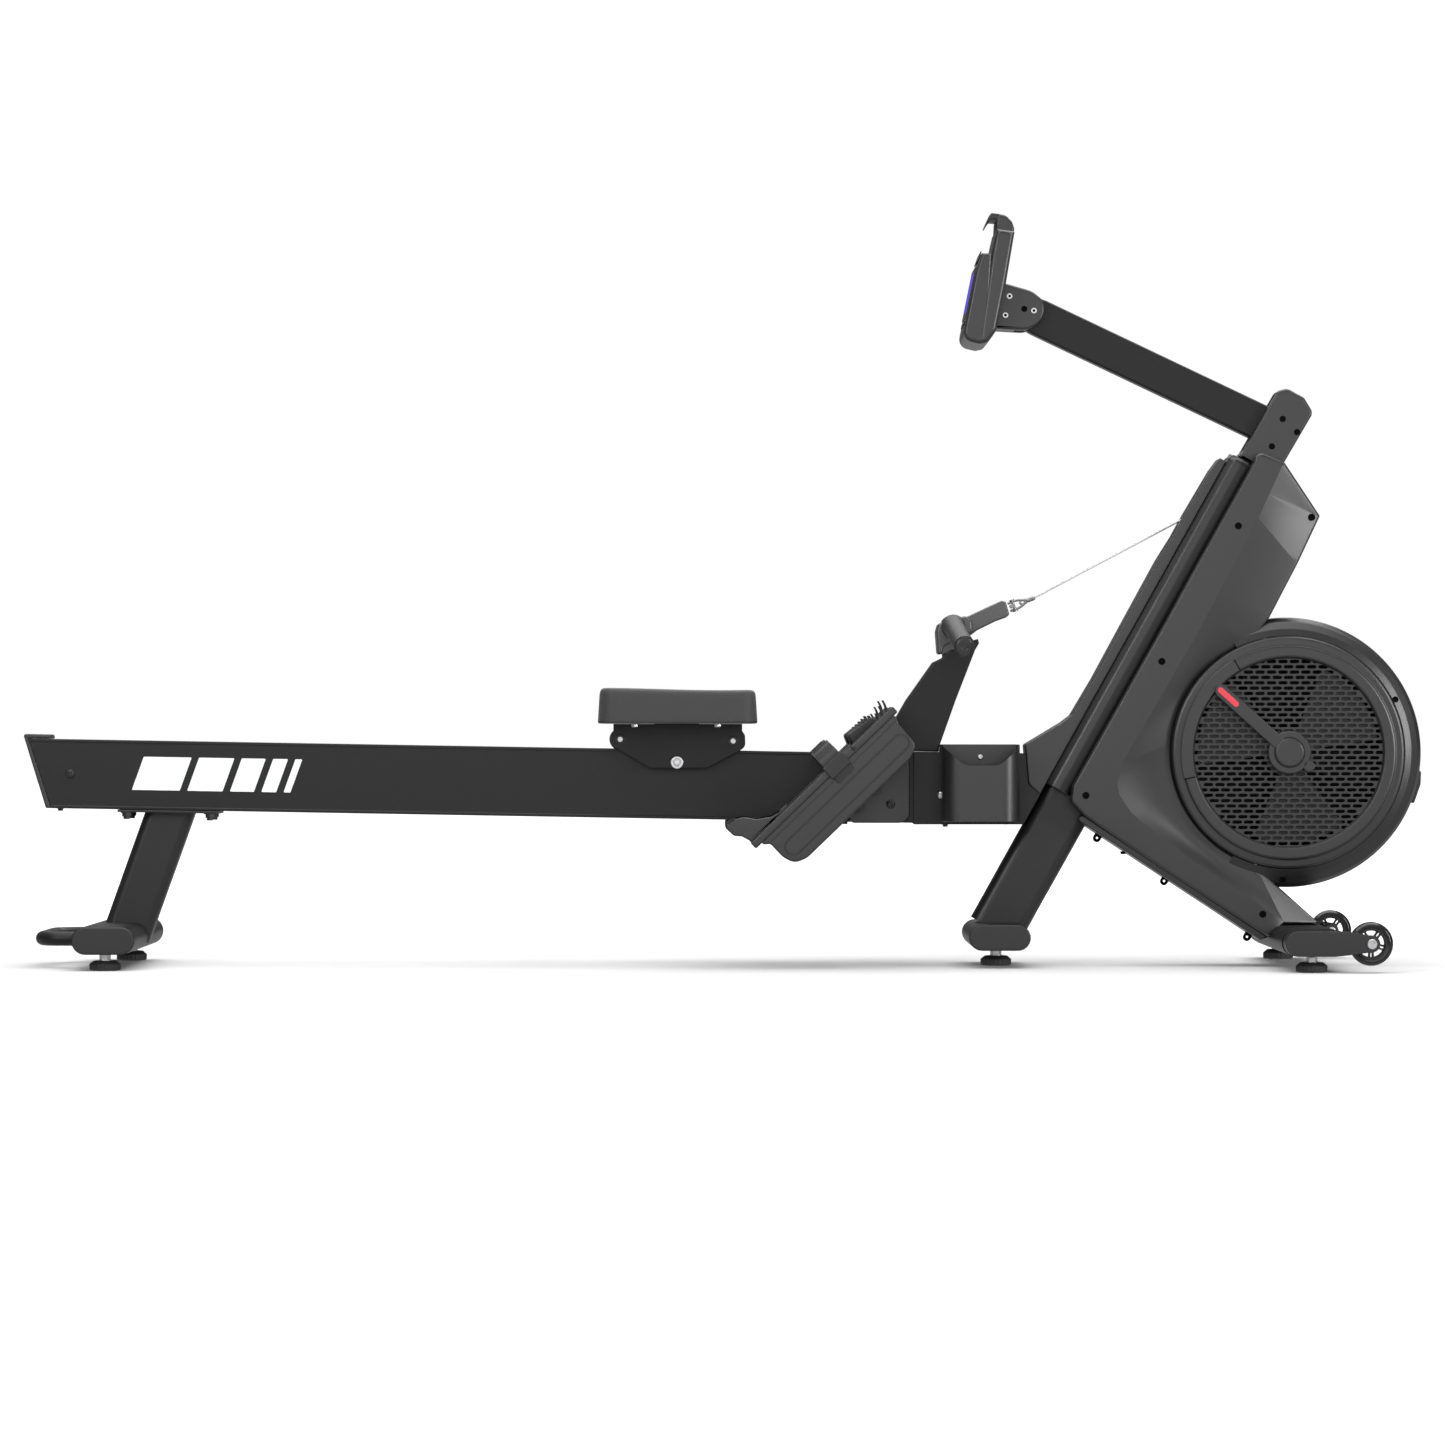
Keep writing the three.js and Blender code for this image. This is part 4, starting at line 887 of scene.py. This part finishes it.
# ---- Handle, cable and hook post -----------------------------------------------------------------------------
def wire_rope():
    """Four twisted strands from the shackle to just short of the guide pulley."""
    start, meet = at(PIN, 40, PULL), at((850.2, 771.9), 30.4, 117.8)
    a = Vector((start[0], 0, start[1]))
    b = a.lerp(Vector((meet[0], 0, meet[1])), 0.985)
    axis = (b - a).normalized()
    across = Vector((0, 1, 0))
    up = axis.cross(across)
    lay = 15  # length of one full twist
    count, strands = int((b - a).length / 1.6), []
    for s in range(4):
        rings = []
        for k in range(count + 1):
            t = 360 * (b - a).length * k / count / lay + 90 * s
            middle = a.lerp(b, k / count) + (up * cosd(t) + across * sind(t)) * 0.75
            rings.append([tuple(middle + (up * cosd(q) + across * sind(q)) * 1.3) for q in range(0, 360, 60)])
        strands.append(loft(rings))
    strands.append(tube([tuple(a), tuple(b)], 1.5, 10))
    o = build("pull_wire", strands, WIRE, "frame", "pull_cable", weighted=False, sharp=None)
    o.parent = None
    o.matrix_world = Matrix.Identity(4)
    del o["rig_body"]
    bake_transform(o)


def shackle():
    """A bent steel bow in the cable's plane, its cross bolt, hinge pin and pressed ferrule."""
    def off(d, h):
        x, z = at(at(PIN, d, PULL), h, PULL + 90)
        return (x, 0, z)

    bow = smooth_path([off(*p) for p in ((-5, 7), (6, 7.2), (14, 6.4), (22, 3.6), (27, 0), (22, -3.6), (14, -6.4),
                                         (6, -7.2), (-5, -7))], 5)
    thimble = smooth_path([off(*p) for p in ((31, 0), (26, 3.2), (20, 3.6), (16, 0), (20, -3.6), (26, -3.2),
                                             (31, 0))], 5)
    lean = (cosd(PULL + 90), 0, sind(PULL + 90))
    bolt = lathe(rounded([(0.2, -11), (4.6, -11), (4.6, -8.6), (2.6, -8.4), (2.6, 8), (4.4, 8.2), (4.4, 11.2),
                          (0.2, 11.2)], 0.5, 2), (0, 0), "z", 20)
    pin = lathe(rounded([(0.2, -9.6), (3.6, -9.6), (3.6, 9.6), (0.2, 9.6)], 0.5, 2), PIN, n=24)
    ferrule = rounded([(0.2, -1), (3.4, -1), (4.1, 1.5), (4.1, 5), (3.4, 6), (4.1, 7), (4.1, 11), (3, 15), (0.2, 15)],
                      0.6, 2)
    ferrule = turned_onto(lathe(ferrule, (0, 0), "z", 24), off(29, 0), (cosd(PULL), 0, sind(PULL)))
    bolt = turned_onto(bolt, off(4, 0), lean)
    build("shackle_bow", [tube(bow, 2.3, 12), tube(thimble, 1.7, 10), bolt, pin, ferrule], SHACKLE, "cable_end",
          "cable_shackle")


def handle_group():
    wire_rope()
    shackle()
    arm = [(420, 603), (425, 611), (467.7, 631), (491, 641.5), (498, 639), (504.5, 617), (498.5, 611.5), (479.4, 604.6),
           (447, 588.5), (436, 580)]
    body = [(374.5, 586), (378, 599), (389, 606), (426, 614), (438, 605), (439, 588), (426, 574), (404, 567),
            (388.5, 561), (385, 547), (377.5, 547)]
    build("yoke_body", [block(arm, [2, 4, 14, 5, 4, 4, 6, 14, 10, 2], 14, 3.5, steps=5),
                        block(body, [8, 8, 8, 6, 8, 10, 10, 14, 8, 3, 3], 33, 5, steps=5)],
          YOKE, "handle", "handle_yoke", cut=[slab(circle(PIN, 20, 48), -5.6, 5.6, 0.1)])
    path = smooth_path([(405, -30, 595), (405, -46, 594), (406.5, -86, 588), (410, -165, 572), (413.6, -240, 558),
                        (414.2, -249, 556.3)], 8)
    radii = [21.5 - 3.5 * min(1, i / 16) for i in range(len(path))]
    radii[-2:] = [17.6, 16.2]
    grip = tube(path, radii, 32)
    ends = Vector(path[-1]) - Vector(path[-2])
    cap = turned_onto(lathe(rounded([(0.2, -1), (16.6, -1), (16.6, 0.8), (13, 2.6), (6.6, 2.8), (5.6, 2), (0.2, 2)],
                                    [0, 0.5, 1, 1, 0.6, 0.6, 0], 2), (0, 0), "z", 40), path[-1], tuple(ends))
    collar = tube(path[-7:-4], 18.6, 32)
    both("grip_sleeve_{}", [grip], GRIP, "handle", "grip_{}")
    both("grip_rings_{}", [collar, cap], PLASTIC, "handle")
    post = [(x, rail_top(x) + gap) for x, gap in ((269, 0.3), (333, 0.3), (334.5, 4), (379, 4))]
    post += [(379, 382), (409, 466.5), (443, 554), (450, 566), (448, 574), (442.5, 572), (437, 562), (424, 557),
             (400, 554), (389, 548), (387, 541), (370, 533), (323, 466.5), (275, 384)]
    build("hook_bracket", block(post, [2, 0, 0, 2, 2, 30, 8, 4, 2, 3, 6, 8, 8, 4, 3, 4, 30, 8], 35, 3, steps=4), TUBE,
          "frame", "hook_post")


# ---- Trays, saddle, footrests --------------------------------------------------------------------------------
def on_plate(s, n):
    return at(at((57.7, 208.8), s, PLATE), n, PLATE + 90)


def plate_to(u, v, w):
    """(y, height over the foot plate, distance along it)"""
    x, z = on_plate(w, v)
    return (x, u, z)


def trays():
    """Bottle trays on both sides of the mast, open at the side."""
    outer = rounded([(384, -34), (518, -34), (518, -120), (384, -120)], [2, 2, 33, 33], 10)
    inner = rounded([(387, -37), (515, -37), (515, -117), (387, -117)], [2, 2, 30, 30], 10)
    mouth = rounded([(370, 430), (384.5, 384), (420, 352), (482, 352), (517.5, 384), (530, 430)],
                    [0, 16, 30, 30, 16, 0], 8)
    to = leaning(MAST_FOOT, MAST_ANGLE)
    mast = loft([[to(u, v, w) for u, v in rounded(rectangle(-50, 50, -40, 40), 4)] for w in (100, 500)])
    cuts = [slab(inner, 257, 420, 0.1, (), plan), slab(mouth, -135, -84, 0.1), mast]
    both("tray_shell_{}", [slab(outer, 254, 388.5, 1.2, (), plan, 2)], PLASTIC, "frame", "bottle_tray_{}", cuts,
         bevel=0.7)
    both("tray_screw_{}", [screw((452, -36.9, 366), NEAR, 5, "button")], ZINC)


def footrests():
    """Casings, foot plates and their rubber treads and fingers."""
    casing = rounded([(82.7, 217.1), (104.1, 194.4), (124.1, 184), (146, 193), (325, 366), (335, 388),
                      (304.1, 424.4), on_plate(335, 2), on_plate(8, 2)], [6, 40, 40, 40, 40, 40, 12, 6, 6], 8)
    centre = on_plate(177.4, -42)
    groove, island = stadium(*centre, 289, 32, 12, PLATE), stadium(*centre, 281.8, 24.8, 12, PLATE)
    line = [on_plate(*p) for p in rectangle(10, 332, -8, -9.8)]
    seam = [on_plate(*p) for p in rectangle(4, 340, 0.6, -0.8)]
    body = slab(casing, -180, -60, 3, steps=4)
    cut = [slab(groove, -190, -176.6, 0.1, [island]), slab(groove, -63.4, -50, 0.1, [island])]
    cut += [slab(run, y0, y1, 0.1) for run in (line, seam) for y0, y1 in ((-190, -178), (-62, -50))]
    plate = slab(rounded([(-180, 0), (-60, 0), (-60, 14), (-180, 14)], 3, 3), 0, 340, 3, (), plate_to, 4)
    channel = slab(rounded(rectangle(-146, -94, 10.5, 24), 1, 2), 36, 170, 0.1, (), plate_to)
    wedge = rounded([on_plate(242, 12), on_plate(308, 12), on_plate(300, 26), on_plate(250, 31)], [1, 4, 5, 5])
    ribs = [slab(rounded(rectangle(-166, -74, 25, 30), 1, 2), s, s + 2.6, 0.8, (), plate_to, 2)
            for s in range(256, 299, 7)]
    fingers = []
    for s, reach in ((306, 13), (316, 18), (326, 21)):
        for y in (-166, -132, -98):
            rows = []
            for i in range(9):
                t = i / 8
                a, b = s + reach * 0.62 * t - 3 * t * t, 13 + reach * (0.35 * t + 0.55 * t * t)
                h = 0.8 * (1 - 0.6 * t)
                rows.append([plate_to(y, b + h, a - h), plate_to(y + 22, b + h, a - h), plate_to(y + 22, b - h, a + h),
                             plate_to(y, b - h, a + h)])
            fingers.append(loft(rows))
    treads = [slab(rounded(rectangle(y, y + 5.8, 13, 15), 0.9, 2), s0, s1, 0.8, (), plate_to, 2)
              for y in (-178.4, -67.4) for s0, s1 in ((60, 176), (224, 330))]
    both("footrest_case_{}", [body], PLASTIC, "frame", "footrest_{}", cut)
    both("footrest_plate_{}", [plate], PLASTIC, cut=[channel])
    both("footrest_treads_{}", [slab(wedge, -170, -70, 3), *ribs, *treads, *fingers], RUBBER)
    x, z = on_plate(242, 8.4)
    both("footrest_pins_{}", [screw((x, -180, z), NEAR, 4.4, "button")], BLACK)


def straps():
    """A strap over each foot: one bowed band with a ribbed grip and a buckle."""
    line = smooth_path([(-182, 0, -18), (-182, 0, 8), (-181, 0, 26), (-172, 0, 40), (-150, 0, 47), (-120, 0, 48.6),
                        (-90, 0, 47), (-68, 0, 40), (-59, 0, 26), (-58, 0, 8), (-58, 0, -18)], 5)
    outer, inner_line = [], []
    for i, (y, _, n) in enumerate(line):
        p, q = line[max(i - 1, 0)], line[min(i + 1, len(line) - 1)]
        t = Vector((q[0] - p[0], q[2] - p[2])).normalized()
        outer.append((y - t.y * 1.5, n + t.x * 1.5))
        inner_line.append((y + t.y * 1.5, n - t.x * 1.5))
    band = slab(outer + inner_line[::-1], 181, 219, 1.2, (), plate_to, 3)
    teeth = []
    for k in range(9):
        y = -152 + 8 * k
        n = 49.6 - 0.0018 * (y + 120) ** 2
        tooth = rounded([(y - 2, n - 1), (y + 2, n - 1), (y + 1.4, n + 1.6), (y - 1.4, n + 1.6)], 0.5, 2)
        teeth.append(slab(tooth, 186, 214, 0.8, (), plate_to, 2))
    both("foot_strap_{}", [band, *teeth], STRAP, "frame", "strap_{}")
    buckle = rounded(rectangle(-186.5, -180, -6, 20), 2, 3)
    both("strap_buckle_{}", [slab(buckle, 178, 222, 2, (), plate_to)], BLACK)


def heel_cups():
    """Sliding heel cups on the foot plates."""
    def across_plate(u, v, w):
        return plate_to(w, v, u)

    profile = rounded([(-9.9, 67.5), (9.8, 62.5), (22.4, 54.8), (34.9, 37.5), (56.5, 22), (84, 15), (100, 14.5),
                       (1, 14.5), (1.8, 17), (-2.7, 32), (-12.1, 42.3), (-13.1, 61.3)],
                      [2, 6, 14, 14, 14, 8, 1, 1, 4, 8, 10, 2])
    inner = rounded([(6, 19), (140, 16.5), (140, 90), (-30, 90), (-6, 64), (-4, 46), (5, 36)], [8, 0, 0, 0, 4, 8, 8])
    shell = slab(profile, -170, -70, 3, (), across_plate, 4)
    lip = rounded([(-11.5, 60), (-7.5, 69), (10, 64), (9, 61.5), (-8, 66)], 0.8, 2)
    lip = slab(lip, -171.5, -68.5, 0.8, (), across_plate, 2)
    tongue = slab(rounded(rectangle(42, 104, 11.4, 15.4), 1, 2), -145.5, -94.5, 0.5, (), across_plate, 2)
    both("heel_cup_shell_{}", [shell], PLASTIC, "heel_{}", "heel_cup_{}",
         [slab(inner, -165.5, -74.5, 3, (), across_plate, 4)])
    both("heel_cup_trim_{}", [lip, tongue], RUBBER, "heel_{}")


def saddle():
    shape = [(222, 250.8), (328, 250.8), (328, 361.3), (222, 361.3)]
    hollow = slab([(200, rail_top(200) + 20), (200, rail_bottom(200) - 0.3), (332.5, rail_bottom(332.5) - 0.3),
                   (332.5, rail_top(332.5) + 20)], -30.1, 30.1, 0.1)
    pegs = [peg(c, 9, y0, y1, 28, 0.3) for c in ((270, 310), (240, 280)) for y0, y1 in ((-66, -34), (34, 66))]
    build("footrest_bracket", block(shape, [10, 19, 8, 19], 36, 2, 8, steps=4), PLASTIC, "frame", "footrest_saddle",
          cut=[hollow])
    build("footrest_pegs", pegs, BLACK)
    build("saddle_bolts", pair(294.8, 36, 284, 8, "button"), BLACK)


# ---- Seat ----------------------------------------------------------------------------------------------------
def seat_group():
    """The crowned pad with its dished top, and the bead around its base."""
    outline = ccw(rounded(rectangle(-216.5, 60.7, -150, 150), 30, 8))
    outline = dense(outline + outline[:1], 15)[:-1]
    middle, top = -77.4, 484

    def dish(x, y):
        return 6 * max(0, 1 - ((x - middle) / 118) ** 2) ** 1.5 * max(0, 1 - (y / 129) ** 2) ** 1.5

    def swell(x, z):
        return z + (1 + 2 * cosd(234 * (x + 216.5) / 277.2)) * max(0, z - 442) / (top - 442)

    rings = []
    for d, z in ((40, 424.8), (4, 424.8), (1.2, 425.2), (0.2, 426.6), (0, 430), (0.9, 442), (1.7, 456), (2.6, 470),
                 (3.1, 475), (4.2, 479.4), (6.4, 482.2), (10, 483.7), (15, top), (24, top)):
        rings.append([(x, y, swell(x, z)) for x, y in inset(outline, min(d, 26))])
        if d > 26:
            rings[-1] = [(middle + (x - middle) * 0.8, y * 0.8, z) for x, y, _ in rings[-1]]
    last = rings[-1]
    for k in (0.94, 0.87, 0.79, 0.7, 0.6, 0.5, 0.4, 0.3, 0.2, 0.1, 0.03):
        near = [(middle + (x - middle) * k, y * k) for x, y, _ in last]
        rings.append([(x, y, swell(x, top) - dish(x, y)) for x, y in near])
    pad = build("seat_cushion", loft(rings), SKIN, "seat", "seat_pad", sharp=None, weighted=False, subdivide=1)
    bead = [[(x, y, z) for x, y in inset(outline, d)]
            for d, z in ((2.5, 427.4), (0.2, 427.8), (-0.1, 428.6), (0.2, 429.4), (2.5, 429.8))]
    build("seat_welt", loft(bead, closed=True), BLACK, "seat", sharp=None, weighted=False)


def carriage():
    """Side plates, bridge and rest of the seat's carriage, its bolts, and the rollers on and under the rail."""
    axles, lower = {"rear": (-179, 397.6), "front": (18.6, 394.5)}, (-79.5, 357)
    plate = rounded([(-191, 424.4), (-191, 411), (-197.5, 403), (-197, 387), (-178, 377.5), (-127, 346.9), (-27, 346.9),
                     (30, 377), (40, 385), (39.5, 405), (34.5, 412), (34.5, 424.4)],
                    [1, 4, 8, 14, 8, 12, 12, 8, 12, 10, 4, 1], 6)
    near = slab(plate, -52, -48, 1.4)
    bridge = block([(-188, 424), (-188, 419.6), (31, 416.6), (31, 421)], 1, 50, 1.2)
    rest = block(rectangle(-120, -40, 418, 424.6), 1, 60, 1)
    build("carriage_plates", [near, mirrored(near), bridge, rest], TUBE, "seat", "seat_carriage")
    zinc, dark = [], []
    for y, axis in ((-52, NEAR), (52, FAR)):
        zinc += [screw((x, y, z), axis, 4.6, "flat") for x, z in axles.values()]
        dark += [screw((x, y - axis[1] * 0.2, z), axis, 9, "dish") for x, z in axles.values()]
        ring = lathe(rounded([(6.4, 0), (11, 0), (11, 4.4), (6.4, 4.4)], 1, 3), (0, 0), "z", 32)
        spot = (lower[0], y, lower[1])
        zinc += [turned_onto(ring, spot, axis), screw(spot, axis, 5, "hex")]
    zinc += [peg(c, 5, -51, 51, 20) for c in axles.values()]
    for y in (-30.7, 30.7):
        y1 = y + math.copysign(17, y)
        dark.append(lathe(rounded([(3, y), (11.5, y), (11.5, y1), (3, y1)], 2, 3), lower, n=32))
    for x in (-153.5, -8.5):
        zinc += [screw((x, y, 424.5), (0, 0, -1), 6.2, "hex") for y in (-72, 72)]
    build("carriage_bolts_bright", zinc, ZINC, "seat")
    build("carriage_bolts_dark", dark, BLACK, "seat")
    tread = rounded([(5.4, -22), (18, -22), (19.6, -20), (19.6, -10), (18, -8), (5.4, -8)], 1.2, 3)
    for where, c in axles.items():
        both(f"roller_{where}_{{}}", [lathe(tread, c, n=56)], RUBBER, "rollers_" + where, f"seat_roller_{where}_{{}}")


rail_group()
rear_group()
for foot_name, spot in (("rear_near", (-1062.5, -190, 29)), ("rear_far", (-1062.5, 190, 29)), ("middle", (481, 0, 31)),
                        ("front_near", (1006.4, -252, 27)), ("front_far", (1006.4, 252, 27))):
    leveler("leveler_" + foot_name, *spot, "foot_" + foot_name)
bars_group()
wheels()
socket_and_panel()
covers_group()
fan_group()
console_group()
handle_group()
trays()
saddle()
footrests()
straps()
heel_cups()
seat_group()
carriage()


# ---- Stage, lights and camera --------------------------------------------------------------------------------
def white_floor():
    """Pale paper that brightens to plain white away from the object."""
    bpy.ops.mesh.primitive_grid_add(x_subdivisions=4, y_subdivisions=4, size=60, location=(0, 0, 0))
    floor = bpy.context.active_object
    floor.name = "studio_floor"
    floor.visible_diffuse = floor.visible_glossy = False
    m, t, shader, where = new_material("studio_paper")
    distance = add(t, "VectorMath", {0: where}, operation="LENGTH")["Value"]
    fade = add(t, "MapRange", {"Value": distance, "From Min": 1.2, "From Max": 3.2}, interpolation_type="SMOOTHSTEP")
    feed(t, shader, {"Base Color": (0.6, 0.6, 0.6, 1), "Roughness": 0.9, "Specular IOR Level": 0,
                     "Emission Color": (1, 1, 1, 1), "Emission Strength": fade[0]})
    floor.data.materials.append(m)


def area_light(name, location, target, size, power):
    data = bpy.data.lights.new(name, "AREA")
    data.shape, data.size, data.size_y, data.energy = "RECTANGLE", size[0], size[1], power
    o = bpy.data.objects.new(name, data)
    bpy.context.scene.collection.objects.link(o)
    o.location = location
    o.visible_camera = False
    o.rotation_euler = (Vector(target) - Vector(location)).to_track_quat("-Z", "Y").to_euler()


def studio():
    """A white backdrop for the camera; reflections see grey that is darkest at the horizon."""
    white_floor()
    world = bpy.data.worlds.new("studio")
    bpy.context.scene.world = world
    world.use_nodes = True
    t = world.node_tree
    up = add(t, "SeparateXYZ", {0: add(t, "TexCoord", {})["Generated"]})["Z"]
    ramp = add(t, "ValToRGB", {0: add(t, "MapRange", {"Value": up, "From Min": -1})[0]})[0]
    stops = ramp.node.color_ramp.elements
    for place, grey in ((0.5, 0.12), (0.485, 0.55)):
        stops.new(place).color = (grey, grey, grey, 1)
    stops[0].color, stops[len(stops) - 1].color = (0.8, 0.8, 0.8, 1), (0.5, 0.5, 0.5, 1)
    seen = add(t, "LightPath", {})["Is Camera Ray"]
    sky = add(t, "Mix", {0: seen, 6: ramp, 7: (1, 1, 1, 1)}, data_type="RGBA")[2]
    feed(t, t.nodes["Background"], {"Strength": 1, "Color": sky})
    area_light("overhead", (0.1, -0.2, 4.2), (0, 0, 0), (6.5, 4.5), 330)
    area_light("front", (0.3, -5.2, 1.2), (0.2, 0, 0.6), (4.2, 2.4), 58)
    area_light("back", (0.1, 3.8, 3.6), (0, 0, 0.5), (5.0, 1.6), 90)
    area_light("front_left", (-2.8, -4.2, 2.2), (0.7, 0, 0.6), (1.2, 2.2), 85)
    area_light("front_right", (4.4, -3.1, 1.25), (1.0, 0, 0.7), (1.2, 2.2), 150)


def camera():
    data = bpy.data.cameras.new("camera")
    o = bpy.data.objects.new("camera", data)
    bpy.context.scene.collection.objects.link(o)
    o.location = (0, -DISTANCE, 0.413)
    o.rotation_euler = (Vector((0, 0, 0.427)) - o.location).to_track_quat("-Z", "Y").to_euler()
    data.sensor_width = 36
    data.lens = data.sensor_width * DISTANCE / (1445 * 0.00176)  # 1.76 mm to a pixel at the middle plane
    bpy.context.scene.camera = o
    view = bpy.context.scene.view_settings
    view.view_transform, view.look = "Standard", "None"


studio()
camera()
